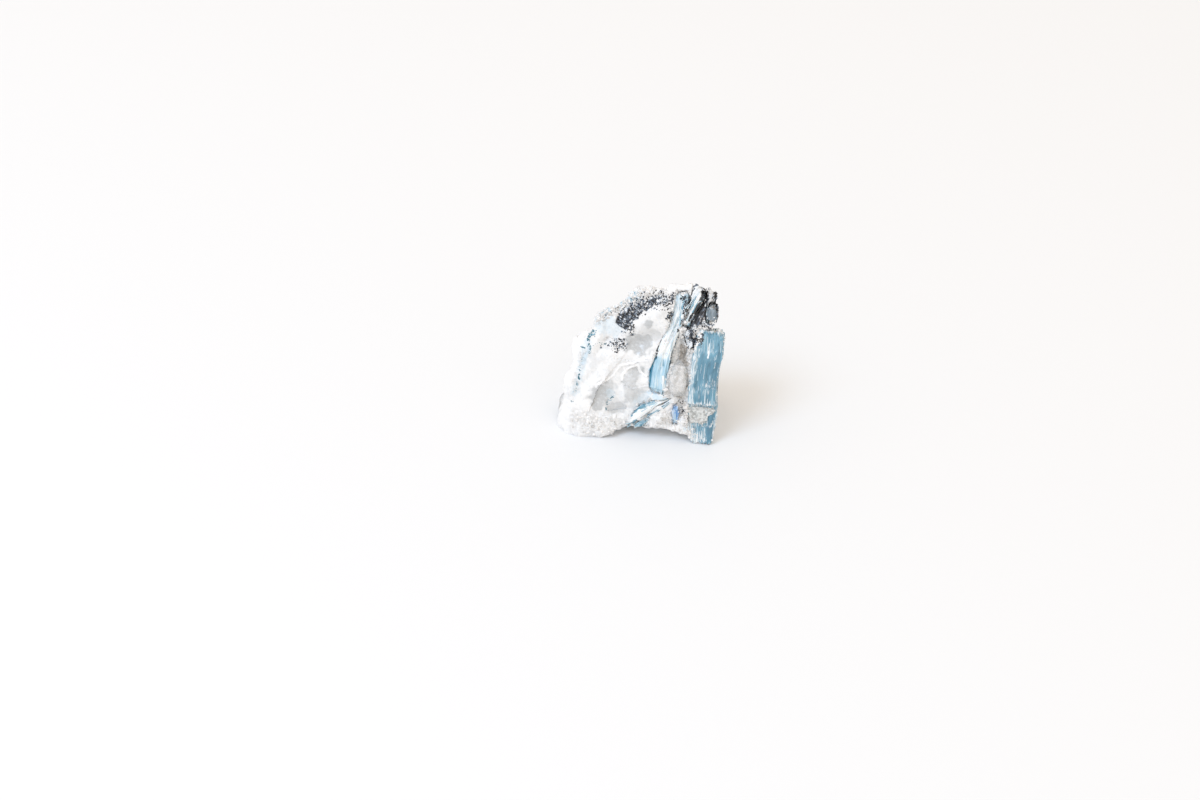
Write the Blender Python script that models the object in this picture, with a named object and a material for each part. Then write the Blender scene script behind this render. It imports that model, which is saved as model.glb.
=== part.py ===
"""A hand specimen of kyanite blades in milky quartz with black mica.

The lump is a leaning wedge that stands on a flat broken base. Lengths are in millimetres until
finish() writes metres. +X runs along the display face, +Y runs from it to the back, +Z is up.
Each crystal sits in a pocket of the quartz, and a clearance of GAP parts every two pieces.
"""

import math

import bmesh
import bpy
from mathutils import Matrix, Vector, noise

MM = 0.001

# Driving dimensions
GAP = 0.25  # clearance between a crystal and its pocket
FACE_TURN = 10.3  # the display face turns this many degrees to the left
FACE_LEAN = 20.0  # and leans back this many degrees
BACK_TURN = -6.0
BACK_LEAN = 12.0
BASE_DEPTH = 16.5  # from the front foot to the back face, along the ground
UNDERCUT = 0.8  # rock below the ground plane, which the base cut takes off
BLADE_LIFT = 0.15  # the blades end this far above the ground plane

# The blades
RIBS = 7  # lengthwise strips of the broad face
RIB_DROP = 0.3  # the strips lie up to this far below the face's height
EDGE_BEVEL = 0.14
END_SPLINTER = 0.75  # and end short of the blade's tips by up to this share of its end stretches
POCKET_COVER = 4.0  # a pocket's cutter reaches this far above the blade

# The rock's mesh
VOXEL = 0.38
ROCK_TRIANGLES = 5200
CHIP_SIZE = 4.6  # broad fracture facets
CHIP_RELIEF = 0.85
GRAIN_SIZE = 1.9  # smaller facets on them
GRAIN_RELIEF = 0.26
FACE_SHARE = 0.6  # the display face is chipped less than the rest
SWELL_SIZE = 7.0
SWELL_RELIEF = 0.35


class Facing:
    """A flat side of the lump: across and up are read on it, and out is the height above it."""

    def __init__(self, foot, turn, lean):
        turn, lean = math.radians(turn), math.radians(lean)
        level = Vector((-math.sin(turn), -math.cos(turn), 0.0))
        self.foot = Vector(foot)
        self.normal = level * math.cos(lean) + Vector((0.0, 0.0, math.sin(lean)))
        self.right = Vector((math.cos(turn), -math.sin(turn), 0.0))
        self.rise = self.normal.cross(self.right)

    def point(self, across, up, out=0.0):
        return self.foot + self.right * across + self.rise * up + self.normal * out

    def read(self, point):
        offset = point - self.foot
        return offset.dot(self.right), offset.dot(self.rise), offset.dot(self.normal)


FRONT = Facing((11.7, -8.4, 0.0), FACE_TURN, FACE_LEAN)
BACK = Facing((-9.5, -8.4 + BASE_DEPTH, 0.0), 180.0 + BACK_TURN, BACK_LEAN)
LEFT = Facing((-13.5, 1.8, 0.0), 104.0, 10.0)
RIGHT = Facing((12.0, 0.0, 0.0), -90.0, 0.0)

# Corners of the lump before it is roughened. The outline of the display face runs clockwise from
# the foot, as (across, up, out).
FACE_OUTLINE = (
    (-0.3, -0.9, 0.0),
    (0.2, 3.0, -0.6),
    (0.1, 14.0, -0.7),
    (0.1, 21.0, -0.3),
    (0.0, 26.0, -0.2),
    (-1.0, 27.2, -0.3),
    (-2.8, 27.6, -0.4),
    (-6.0, 26.8, 0.0),
    (-9.6, 26.1, 0.0),
    (-14.4, 25.6, -0.3),
    (-16.9, 23.0, -0.6),
    (-21.8, 17.9, -0.5),
    (-23.2, 11.0, 0.3),
    (-24.2, 4.0, 0.3),
    (-24.6, -0.9, 0.2),
    (-14.0, 13.0, 0.9),
    (-17.0, 5.0, 1.0),
)
# The outline of the back, as (across, up, out) seen from behind, and the left side, as (x, y, z).
BACK_OUTLINE = (
    (-0.6, -0.9, -1.6),
    (-4.0, -0.9, 0.0),
    (-17.0, -0.9, 0.0),
    (-20.8, -0.9, -2.6),
    (-21.3, 9.0, -2.4),
    (-20.6, 20.0, -1.0),
    (-16.5, 23.6, -0.6),
    (-9.5, 22.6, -0.6),
    (-2.4, 15.6, -0.6),
    (0.6, 9.0, -1.8),
    (-10.5, 10.5, 0.7),
)
SIDE_CORNERS = (
    (-14.0, -2.6, -UNDERCUT),
    (-14.2, -0.6, 3.0),
    (-13.7, 1.4, 7.8),
    (-12.0, 3.0, 11.6),
    (-10.3, 3.4, 14.6),
    (-12.6, 5.2, -UNDERCUT),
    (12.0, 1.0, -UNDERCUT),
    (12.1, 1.0, 9.0),
)

# Swellings and dips of the display face: (across, up, half width, half height, out)
FACE_RELIEF = (
    (-10.8, 20.6, 2.9, 3.2, 0.7),
    (-19.8, 1.6, 5.0, 2.4, 0.9),
    (-8.0, 3.6, 2.6, 1.8, 0.5),
    (-21.0, 12.6, 2.6, 4.6, 0.6),
    (-15.2, 22.0, 2.6, 2.2, -0.5),
    (-6.1, 15.2, 1.9, 4.6, -1.2),
    (-6.0, 7.0, 2.2, 4.6, -1.0),
)
# Broken-out corners: side, deepest point (across, up, out), direction in which the broad floor
# rises, its slope, and the slope of the two walls
NOTCHES = (
    (FRONT, -16.0, 5.0, -1.5, 130.0, 0.26, 0.55),
    (FRONT, -12.2, 16.9, -1.0, 205.0, 0.22, 0.60),
    (FRONT, -12.9, 11.6, -1.0, 150.0, 0.26, 0.55),
    (FRONT, -11.6, 6.9, -1.2, 100.0, 0.30, 0.60),
    (FRONT, -18.6, 16.6, -1.1, 60.0, 0.30, 0.80),
    (FRONT, -22.6, 8.2, -0.9, 80.0, 0.20, 0.70),
    (FRONT, -8.6, 1.4, -0.8, 20.0, 0.35, 0.80),
    (BACK, -3.2, 11.0, -2.6, 150.0, 0.30, 0.60),
    (BACK, -10.8, 5.6, -1.5, 60.0, 0.25, 0.55),
    (BACK, -17.2, 16.0, -2.0, 250.0, 0.30, 0.60),
    (BACK, -19.6, 5.0, -3.6, 100.0, 0.45, 0.80),
    (BACK, -9.4, 20.0, -1.9, 200.0, 0.35, 0.80),
    (RIGHT, -1.5, 4.5, -1.6, 80.0, 0.30, 0.60),
    (RIGHT, 2.6, 10.5, -1.8, 240.0, 0.30, 0.70),
    (RIGHT, 0.8, 17.5, -1.2, 300.0, 0.30, 0.70),
    (LEFT, 3.4, 3.6, -1.2, 120.0, 0.30, 0.60),
    (LEFT, -2.4, 9.0, -1.6, 220.0, 0.30, 0.60),
)
WALL_SPREAD = 112.0  # the walls of a notch face this far round from its floor
RIDGES = (-5.2, 16.8, 1.15, 0.7, 23.5)  # mica leaves: from across, from up, spacing, height, heading

# The lump is hollow under its front edge, between the left base and the foot.
ARCH_CENTRE, ARCH_HALF, ARCH_HEIGHT, ARCH_REACH = -9.6, 9.2, 2.5, 6.5

# Outlines of the two mica patches on the display face and one on the back, as (across, up)
MICA_BAND = (
    (-17.4, 19.8), (-16.9, 21.5), (-15.6, 22.9), (-13.4, 24.4), (-11.2, 25.0), (-9.7, 25.4), (-8.6, 24.7),
    (-8.9, 23.7), (-11.2, 23.8), (-12.0, 22.6), (-13.0, 21.9), (-13.4, 20.8), (-14.6, 19.6), (-15.6, 18.8),
)
MICA_WEDGE = (
    (-4.7, 29.0), (1.8, 29.0), (1.8, 20.8), (-1.6, 20.9), (-3.9, 20.7), (-3.9, 17.0), (-4.6, 16.4),
    (-5.2, 17.4), (-5.9, 18.9), (-5.3, 20.4), (-4.8, 22.6),
)
MICA_BACK = (
    (-13.6, 12.0), (-12.4, 15.0), (-9.4, 16.2), (-7.0, 15.4), (-6.2, 12.8), (-8.6, 10.6), (-11.4, 10.2),
)

# Each blade: side, foot (across, up), heading in degrees clockwise from up, thickness, and stations
# along it as (along, left, right, out), where out is the height of its broad face.
BLADES = {
    "kyanite_blade_broad": (FRONT, (-1.6, 0.0), 0.0, 3.0, (
        (-1.6, -1.2, 1.1, -0.2), (0.9, -1.7, 1.9, 0.0), (3.4, -2.2, 2.3, 0.1), (5.4, -2.4, 2.3, 0.1),
        (6.8, -2.4, 2.3, 0.2), (7.1, -2.4, 2.2, 0.9), (9.6, -2.4, 2.1, 1.0), (12.0, -2.3, 2.1, 1.1),
        (14.6, -2.2, 2.4, 1.1), (15.3, -2.1, 2.7, 1.0), (17.6, -1.9, 2.7, 0.9), (19.4, -1.7, 2.6, 0.8),
        (20.2, -1.3, 1.9, 0.4))),
    "kyanite_blade_centre": (FRONT, (-9.6, 8.2), 0.0, 1.9, (
        (0.0, -0.7, 1.1, 0.1), (0.9, -1.3, 1.5, 0.6), (3.6, -1.4, 1.7, 0.9), (7.2, -0.5, 2.1, 0.9),
        (10.1, 0.6, 2.9, 0.8), (12.6, 1.6, 3.7, 0.8), (14.8, 1.9, 4.3, 0.7), (17.4, 2.0, 4.4, 0.6),
        (18.3, 2.5, 4.0, 0.3))),
    "kyanite_lath_top": (FRONT, (-5.6, 20.0), 23.5, 1.5, (
        (0.0, -0.25, 0.25, 0.1), (0.8, -0.4, 0.4, 0.6), (3.2, -0.5, 0.5, 0.9), (5.8, -0.65, 0.6, 1.0),
        (7.2, -0.55, 0.5, 0.6))),
    "kyanite_stub_top": (FRONT, (-1.1, 21.3), 2.0, 1.9, (
        (0.0, -0.85, 0.8, 0.3), (0.6, -0.9, 0.9, 0.6), (2.4, -0.8, 0.85, 0.6), (3.3, -0.5, 0.5, 0.2))),
    "kyanite_blade_slanted": (FRONT, (-14.6, 2.65), 56.1, 1.5, (
        (0.0, 0.1, 0.45, 0.2), (1.2, -0.45, 0.7, 0.8), (2.6, -1.0, 0.5, 1.0), (3.9, -1.35, 0.35, 0.9),
        (5.7, -1.05, 0.2, 0.6), (8.2, -0.3, 0.25, 0.2), (9.0, -0.05, 0.15, 0.0))),
    "kyanite_splinter_low": (FRONT, (-13.1, 2.0), 56.1, 0.9, (
        (0.0, -0.2, 0.2, 0.3), (0.8, -0.35, 0.35, 0.7), (2.4, -0.35, 0.35, 0.7), (3.2, -0.15, 0.15, 0.3))),
    "kyanite_blade_small": (FRONT, (-6.1, 3.2), 0.0, 1.1, (
        (0.0, -0.35, 0.3, 0.1), (0.9, -0.5, 0.5, 0.4), (2.4, -0.55, 0.5, 0.4), (3.6, -0.3, 0.3, 0.0))),
    "kyanite_blade_back_tall": (BACK, (-15.4, 1.4), 4.0, 2.2, (
        (0.0, -1.2, 1.0, 0.1), (0.8, -1.6, 1.4, 0.6), (5.0, -1.8, 1.5, 0.7), (9.5, -1.6, 1.3, 0.7),
        (12.6, -1.2, 1.2, 0.6), (13.6, -0.7, 0.8, 0.2))),
    "kyanite_blade_back_cross": (BACK, (-6.4, 9.6), -38.0, 1.8, (
        (0.0, -0.6, 0.5, 0.1), (0.7, -1.0, 0.9, 0.6), (4.4, -1.2, 1.0, 0.8), (7.6, -0.9, 0.8, 0.6),
        (8.4, -0.4, 0.4, 0.2))),
    "kyanite_blade_back_low": (BACK, (-6.0, 1.0), 28.0, 1.8, (
        (0.0, -0.8, 0.9, 0.1), (0.8, -1.1, 1.1, 0.5), (4.4, -1.2, 1.0, 0.6), (6.4, -0.7, 0.7, 0.2))),
    "kyanite_blade_left": (LEFT, (-1.2, 1.6), -8.0, 1.5, (
        (0.0, -0.7, 0.6, -0.2), (0.7, -0.9, 0.9, 0.0), (4.0, -1.0, 0.9, 0.0), (6.8, -0.8, 0.7, -0.2),
        (7.8, -0.4, 0.3, -0.4))),
}

# Lumps of quartz of their own: side, centre (across, up, out), half width, half height, half depth
LUMPS = {
    "quartz_grain_clear": (FRONT, (-6.0, 11.0, -0.2), 1.3, 2.6, 1.5),
    "quartz_crust": (FRONT, (-1.7, 5.0, 0.1), 2.3, 1.45, 1.1),
}
LUMP_SQUARENESS = 0.8  # 1 is an ellipsoid, and less is boxier
CRUST_SEAT = 0.1 + GAP  # the crust sits flat on the lower end of the broad blade

# Mica patches: side, outline, and how deep and how high over the side the cut for it reaches
SEAMS = {
    "mica_band": (FRONT, MICA_BAND, -2.4, 4.0),
    "mica_wedge": (FRONT, MICA_WEDGE, -3.2, 4.0),
    "mica_seam_back": (BACK, MICA_BACK, -2.4, 4.0),
}

PALE_BLADES = ("kyanite_blade_centre", "kyanite_lath_top", "kyanite_stub_top")
UPWARD = (0.0, 0.0, 1.0)
COLOURS = {  # base colour, roughness
    "quartz": ((0.86, 0.86, 0.84), 0.45),
    "glassy": ((0.62, 0.62, 0.60), 0.12),
    "crust": ((0.50, 0.50, 0.48), 0.6),
    "mica": ((0.03, 0.03, 0.035), 0.35),
    "kyanite_deep": ((0.10, 0.32, 0.44), 0.3),
    "kyanite_pale": ((0.38, 0.62, 0.74), 0.3),
}


def clear_scene():
    for obj in list(bpy.data.objects):
        bpy.data.objects.remove(obj, do_unlink=True)


def new_object(name, bm):
    mesh = bpy.data.meshes.new(name)
    bm.to_mesh(mesh)
    bm.free()
    obj = bpy.data.objects.new(name, mesh)
    bpy.context.scene.collection.objects.link(obj)
    return obj


def paint(obj, finish):
    colour, roughness = COLOURS[finish]
    material = bpy.data.materials.get(finish)
    if material is None:
        material = bpy.data.materials.new(finish)
        material.use_nodes = True
        shader = material.node_tree.nodes["Principled BSDF"]
        shader.inputs["Base Color"].default_value = (*colour, 1.0)
        shader.inputs["Roughness"].default_value = roughness
        shader.inputs["Metallic"].default_value = 0.0
    obj.data.materials.clear()
    obj.data.materials.append(material)


def make_cutter(obj):
    obj.hide_render = True
    obj.display_type = "WIRE"
    return obj


def add_boolean(obj, other, operation):
    modifier = obj.modifiers.new(f"{operation} {other.name}", "BOOLEAN")
    modifier.operation = operation
    modifier.object = other
    modifier.solver = "MANIFOLD"  # the exact solver leaves open edges among so many small facets


def apply_modifiers(obj):
    """Replaces the object's mesh by what its modifiers make of it."""
    bpy.context.view_layer.update()
    evaluated = obj.evaluated_get(bpy.context.evaluated_depsgraph_get())
    mesh = bpy.data.meshes.new_from_object(evaluated)
    obj.modifiers.clear()
    obj.data = mesh


def cut_flat(obj, place, normal):
    """Cuts the solid off flat at a plane, takes what lies behind it and closes the cut."""
    bm = bmesh.new()
    bm.from_mesh(obj.data)
    cut = bmesh.ops.bisect_plane(
        bm,
        geom=bm.verts[:] + bm.edges[:] + bm.faces[:],
        dist=1e-5,
        plane_co=place,
        plane_no=normal,
        clear_inner=True,
    )
    rim = [item for item in cut["geom_cut"] if isinstance(item, bmesh.types.BMEdge)]
    if rim:
        bmesh.ops.holes_fill(bm, edges=rim, sides=0)
    bmesh.ops.recalc_face_normals(bm, faces=bm.faces)
    bm.to_mesh(obj.data)
    bm.free()


# The lump


def chipped(point, size, relief):
    """Height of flat chips: each cell of a Voronoi pattern is a small plane with its own tilt."""
    places = noise.voronoi(point / size)[1]
    tilt = noise.cell_vector(places[0] * 7.3) - Vector((0.5, 0.5, 0.5))
    return 2.0 * relief * (point / size - places[0]).dot(tilt)


def face_relief(point):
    """Height of the swellings, dips and mica leaves of the display face at this point."""
    across, up, out = FRONT.read(point)
    if out < -2.5:
        return 0.0
    height = 0.0
    for centre, middle, half_width, half_height, rise in FACE_RELIEF:
        reach = ((across - centre) / half_width) ** 2 + ((up - middle) / half_height) ** 2
        if reach < 1.0:
            height += rise * (1.0 - reach)
    from_across, from_up, spacing, rise, heading = RIDGES
    if across > from_across and up > from_up:
        turn = math.radians(heading)
        place = (across * math.cos(turn) - up * math.sin(turn)) / spacing
        height += rise * (place % 1.0 - 0.6)
    return height


def notched(place, normal):
    """This point of the surface after the notches are broken out: none is left over a floor."""
    for side, centre, middle, depth, turn, gentle, steep in NOTCHES:
        if normal.dot(side.normal) < 0.4:
            continue
        across, up, out = side.read(place)
        floor = -math.inf
        for angle, slope in ((turn, gentle), (turn + WALL_SPREAD, steep), (turn - WALL_SPREAD, steep)):
            way = math.radians(angle)
            rise = (across - centre) * math.cos(way) + (up - middle) * math.sin(way)
            floor = max(floor, depth + slope * rise)
        if out > floor:
            place = place - side.normal * (out - floor)
    return place


def arch_height(point):
    """Height of the hollow under the front edge."""
    across, _, out = FRONT.read(point)
    share = 1.0 - ((across - ARCH_CENTRE) / ARCH_HALF) ** 2
    depth = max(0.0, 1.0 - max(0.0, -out - 1.0) / ARCH_REACH)
    return ARCH_HEIGHT * max(0.0, share) * depth


def roughen(bm):
    bm.normal_update()
    moved = []
    for vert in bm.verts:
        point, normal = vert.co.copy(), vert.normal.copy()
        chips = chipped(point, CHIP_SIZE, CHIP_RELIEF)
        grains = chipped(point, GRAIN_SIZE, GRAIN_RELIEF)
        rise = SWELL_RELIEF * noise.noise(point / SWELL_SIZE)
        if normal.dot(FRONT.normal) > 0.6:
            chips *= FACE_SHARE
            rise = FACE_SHARE * rise + face_relief(point)
        place = notched(point + normal * (chips + rise), normal) + normal * grains
        place.z = max(place.z, arch_height(place))
        moved.append(place)
    for vert, place in zip(bm.verts, moved):
        vert.co = place


def remesh(obj, size):
    """Gives the object an even mesh of this size, with no folds."""
    even = obj.modifiers.new("even mesh", "REMESH")
    even.mode = "VOXEL"
    even.voxel_size = size
    apply_modifiers(obj)


def make_rock():
    """The whole lump before any pocket is cut: a hull of its corners, chipped and cut flat below."""
    bm = bmesh.new()
    corners = [FRONT.point(*corner) for corner in FACE_OUTLINE]
    corners += [BACK.point(*corner) for corner in BACK_OUTLINE]
    corners += [Vector(corner) for corner in SIDE_CORNERS]
    for corner in corners:
        bm.verts.new(corner)
    hull = bmesh.ops.convex_hull(bm, input=bm.verts)
    spare = {item for item in hull["geom_interior"] + hull["geom_unused"]}
    bmesh.ops.delete(bm, geom=[v for v in spare if isinstance(v, bmesh.types.BMVert)], context="VERTS")
    rock = new_object("rock", bm)

    remesh(rock, VOXEL)
    bm = bmesh.new()
    bm.from_mesh(rock.data)
    bmesh.ops.smooth_vert(bm, verts=bm.verts, factor=0.5, use_axis_x=True, use_axis_y=True, use_axis_z=True)
    roughen(bm)
    bm.to_mesh(rock.data)
    bm.free()
    remesh(rock, VOXEL)  # clears the folds that the chips leave where they meet

    count = sum(len(face.vertices) - 2 for face in rock.data.polygons)
    fewer = rock.modifiers.new("fewer faces", "DECIMATE")
    fewer.ratio = ROCK_TRIANGLES / count
    apply_modifiers(rock)
    cut_flat(rock, (0.0, 0.0, 0.0), UPWARD)
    return rock


# Crystals


def loft(bm, rings):
    """A closed solid through rings of points, extruded from the first one to the last."""
    start = [bm.verts.new(point) for point in rings[0]]
    face = bm.faces.new(start)
    for ring in rings[1:]:
        made = bmesh.ops.extrude_discrete_faces(bm, faces=[face])["faces"][0]
        for vert, point in zip(made.verts, ring):
            vert.co = point
        face = made
    bm.faces.new(reversed(start))
    return bm


def chance(*whole):
    """A number from 0 to 1 that looks random, the same for the same three whole numbers."""
    return 0.5 + 0.5 * noise.cell(Vector(whole) * 1.7 + Vector((0.5, 0.5, 0.5)))


def blade_sections(spec, key):
    """Cross-sections of a blade, whose broad face is stepped and whose ends are splintered."""
    side, foot, heading, thickness, stations = spec
    back = max(station[3] for station in stations) - thickness
    end_lengths = {0: stations[1][0] - stations[0][0], len(stations) - 1: stations[-2][0] - stations[-1][0]}
    sections = []
    for index, (along, left, right, out) in enumerate(stations):
        inwards = END_SPLINTER * end_lengths.get(index, 0.0)
        ring = [(left, along, back), (right, along, back)]
        for step in range(RIBS + 1):
            rib = step // 2
            across = right + (left - right) * step / RIBS
            drop = RIB_DROP * chance(key, rib, 0) + (EDGE_BEVEL if step in (0, RIBS) else 0.0)
            ring.append((across, along + inwards * chance(key, rib, 5 + index), out - drop))
        sections.append([on_blade(side, foot, heading, *corner) for corner in ring])
    return sections


def pocket_sections(spec):
    """The same path for the blade's pocket, which is wider by the clearance and open to the front."""
    side, foot, heading, thickness, stations = spec
    back = max(station[3] for station in stations) - thickness - GAP
    sections = []
    for index, (along, left, right, out) in enumerate(stations):
        along += GAP * ((index == len(stations) - 1) - (index == 0))
        front = out + POCKET_COVER
        ring = ((left - GAP, back), (right + GAP, back), (right + GAP, front), (left - GAP, front))
        sections.append([on_blade(side, foot, heading, across, along, height) for across, height in ring])
    return sections


def on_blade(side, foot, heading, across, along, height):
    """The point this far across and along a blade that starts at its foot with this heading."""
    turn = math.radians(heading)
    shift = across * math.cos(turn) + along * math.sin(turn)
    rise = along * math.cos(turn) - across * math.sin(turn)
    return side.point(foot[0] + shift, foot[1] + rise, height)


def make_blade(name, key):
    bm = loft(bmesh.new(), blade_sections(BLADES[name], key))
    bmesh.ops.recalc_face_normals(bm, faces=bm.faces)
    blade = new_object(name, bm)
    cut_flat(blade, (0.0, 0.0, BLADE_LIFT), UPWARD)
    return blade


def make_pocket(name):
    bm = loft(bmesh.new(), pocket_sections(BLADES[name]))
    bmesh.ops.recalc_face_normals(bm, faces=bm.faces)
    return make_cutter(new_object(f"pocket {name}", bm))


def make_lump(name, grow=0.0):
    """An ellipsoid of chipped quartz that sits on one side of the specimen."""
    side, centre, half_width, half_height, half_depth = LUMPS[name]
    bm = bmesh.new()
    bmesh.ops.create_icosphere(bm, subdivisions=3, radius=1.0)
    for vert in bm.verts:
        shape = Vector(math.copysign(abs(part) ** LUMP_SQUARENESS, part) for part in vert.co)
        chip = 0.0 if grow else chipped(shape * 1.6, 1.0, 0.16) - 0.08
        vert.co = side.point(
            centre[0] + shape.x * (half_width * (1.0 + chip) + grow),
            centre[1] + shape.y * (half_height * (1.0 + chip) + grow),
            centre[2] + shape.z * (half_depth * (1.0 + chip) + grow),
        )
    bmesh.ops.recalc_face_normals(bm, faces=bm.faces)
    return new_object(name, bm)


# Mica seams


def widened(outline, grow):
    """The outline with each of its edges moved out by grow; it runs clockwise."""
    corners = [Vector(corner) for corner in outline]
    wider = []
    for index, corner in enumerate(corners):
        before = (corner - corners[index - 1]).normalized()
        after = (corners[(index + 1) % len(corners)] - corner).normalized()
        away = Vector((-before.y - after.y, before.x + after.x))
        wider.append(corner + away * grow / (1.0 + before.dot(after)))
    return wider


def make_prism(name, grow):
    """A prism over a patch's outline: the part of the lump that is mica, or its pocket when grown."""
    side, outline, low, high = SEAMS[name]
    bm = bmesh.new()
    ring = [bm.verts.new(side.point(*corner, low - grow)) for corner in widened(outline, grow)]
    floor = bm.faces.new(ring)
    made = bmesh.ops.extrude_face_region(bm, geom=[floor])
    lifted = [item for item in made["geom"] if isinstance(item, bmesh.types.BMVert)]
    bmesh.ops.translate(bm, verts=lifted, vec=side.normal * (high - low + grow))
    bmesh.ops.recalc_face_normals(bm, faces=bm.faces)
    return make_cutter(new_object(f"prism {name} {grow}", bm))


def keep_largest(obj):
    """Drops the crumbs that the cuts part from a piece."""
    bm = bmesh.new()
    bm.from_mesh(obj.data)
    bmesh.ops.remove_doubles(bm, verts=bm.verts, dist=1e-4)
    bmesh.ops.dissolve_degenerate(bm, edges=bm.edges, dist=1e-3)
    bmesh.ops.triangulate(bm, faces=bm.faces)
    left = set(bm.faces)
    bodies = []
    while left:
        body, border = [], [left.pop()]
        while border:
            face = border.pop()
            body.append(face)
            for edge in face.edges:
                for other in edge.link_faces:
                    if len(edge.link_faces) == 2 and other in left:
                        left.remove(other)
                        border.append(other)
        bodies.append(body)
    bodies.sort(key=len)
    crumbs = [face for body in bodies[:-1] for face in body]
    bmesh.ops.delete(bm, geom=crumbs, context="FACES")
    bm.to_mesh(obj.data)
    bm.free()


def copy_object(obj, name):
    copy = bpy.data.objects.new(name, obj.data.copy())
    bpy.context.scene.collection.objects.link(copy)
    return copy


def finish(objects):
    """Puts the middle of the base on the origin and turns millimetres into metres."""
    corners = [vert.co for obj in objects for vert in obj.data.vertices]
    middle = [(min(c[axis] for c in corners) + max(c[axis] for c in corners)) / 2.0 for axis in (0, 1)]
    to_origin = Matrix.Scale(MM, 4) @ Matrix.Translation((-middle[0], -middle[1], 0.0))
    for obj in objects:
        obj.data.transform(to_origin)
        obj.data.update()


def main():
    clear_scene()
    matrix = make_rock()
    matrix.name = "quartz_matrix"
    paint(matrix, "quartz")
    pieces = [matrix]
    pockets = [make_pocket(name) for name in BLADES]

    for name in SEAMS:
        seam = copy_object(matrix, name)
        add_boolean(seam, make_prism(name, 0.0), "INTERSECT")
        for pocket in pockets:
            add_boolean(seam, pocket, "DIFFERENCE")
        apply_modifiers(seam)
        keep_largest(seam)
        paint(seam, "mica")
        pieces.append(seam)

    for key, name in enumerate(BLADES):
        blade = make_blade(name, key)
        paint(blade, "kyanite_pale" if name in PALE_BLADES else "kyanite_deep")
        pieces.append(blade)

    grain = make_lump("quartz_grain_clear")
    paint(grain, "glassy")
    crust = make_lump("quartz_crust")
    cut_flat(crust, FRONT.point(0.0, 0.0, CRUST_SEAT), FRONT.normal)
    paint(crust, "crust")
    pieces += [grain, crust]

    cutters = pockets + [make_prism(name, GAP) for name in SEAMS]
    cutters.append(make_cutter(make_lump("quartz_grain_clear", GAP)))
    for cutter in cutters:
        add_boolean(matrix, cutter, "DIFFERENCE")
    apply_modifiers(matrix)
    keep_largest(matrix)

    finish(pieces)
    for obj in pieces:
        print(obj.name, sum(len(face.vertices) - 2 for face in obj.data.polygons))


main()
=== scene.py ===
# A hand specimen: kyanite blades in milky vein quartz with black biotite mica.
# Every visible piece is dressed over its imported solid. Meshes are worked in millimetres and
# turned to metres when they are done.
import math
import random

import bmesh
import bpy
from mathutils import Euler, Matrix, Vector, noise
from mathutils.bvhtree import BVHTree


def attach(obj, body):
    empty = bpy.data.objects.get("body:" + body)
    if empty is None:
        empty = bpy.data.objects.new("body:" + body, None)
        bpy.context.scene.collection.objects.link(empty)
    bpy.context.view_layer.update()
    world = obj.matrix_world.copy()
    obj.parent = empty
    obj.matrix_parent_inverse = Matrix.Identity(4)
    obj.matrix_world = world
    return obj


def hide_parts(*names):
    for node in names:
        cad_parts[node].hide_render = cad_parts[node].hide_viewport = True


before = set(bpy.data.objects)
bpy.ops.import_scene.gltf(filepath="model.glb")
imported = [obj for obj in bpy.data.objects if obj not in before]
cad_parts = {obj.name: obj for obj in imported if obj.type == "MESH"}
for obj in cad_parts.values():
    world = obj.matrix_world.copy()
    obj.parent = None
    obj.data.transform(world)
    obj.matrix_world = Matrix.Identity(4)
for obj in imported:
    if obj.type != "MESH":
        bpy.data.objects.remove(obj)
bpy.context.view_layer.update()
print("frame loaded:", len(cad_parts), "nodes")

mm = 0.001


# Places on the stone


def makeSide(foot, turn, lean):
    # a flat side: it faces -Y at turn 0, and turns and leans back by these degrees
    turn, lean = math.radians(turn), math.radians(lean)
    level = Vector((-math.sin(turn), -math.cos(turn), 0))
    outward = level * math.cos(lean) + Vector((0, 0, math.sin(lean)))
    right = Vector((math.cos(turn), -math.sin(turn), 0))
    return {"foot": Vector(foot), "right": right, "rise": outward.cross(right), "outward": outward}


def placeOn(side, across, up, out=0.0):
    return side["foot"] + side["right"] * across + side["rise"] * up + side["outward"] * out


def readOn(side, point):
    offset = point - side["foot"]
    return offset.dot(side["right"]), offset.dot(side["rise"]), offset.dot(side["outward"])


front = makeSide((11.51, -9.30, 0), 10.3, 20)  # the display face, read from its lower right corner
back = makeSide((-9.70, 7.20, 0), 174, 12)
left = makeSide((-13.70, 0.90, 0), 104, 10)


# Meshes


def newObject(name, bm):
    mesh = bpy.data.meshes.new(name)
    bm.to_mesh(mesh)
    bm.free()
    piece = bpy.data.objects.new(name, mesh)
    bpy.context.scene.collection.objects.link(piece)
    return piece


def solidCopy(nodeName, grow=0.0):
    # a CAD solid in mm, its loose triangles merged, each vertex moved out by grow
    bm = bmesh.new()
    bm.from_mesh(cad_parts[nodeName].data)
    bmesh.ops.scale(bm, verts=bm.verts, vec=(1 / mm, 1 / mm, 1 / mm))
    bmesh.ops.remove_doubles(bm, verts=bm.verts, dist=0.001)
    bm.normal_update()
    moved = [vert.co + vert.normal * grow for vert in bm.verts]
    for vert, place in zip(bm.verts, moved):
        vert.co = place
    return bm


def evenMesh(piece, size):
    # a voxel remesh, which also clears the folds that growing leaves
    remesh = piece.modifiers.new("even", "REMESH")
    remesh.mode = "VOXEL"
    remesh.voxel_size = size
    bpy.context.view_layer.update()
    mesh = bpy.data.meshes.new_from_object(piece.evaluated_get(bpy.context.evaluated_depsgraph_get()))
    piece.modifiers.clear()
    piece.data = mesh
    return piece


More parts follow.
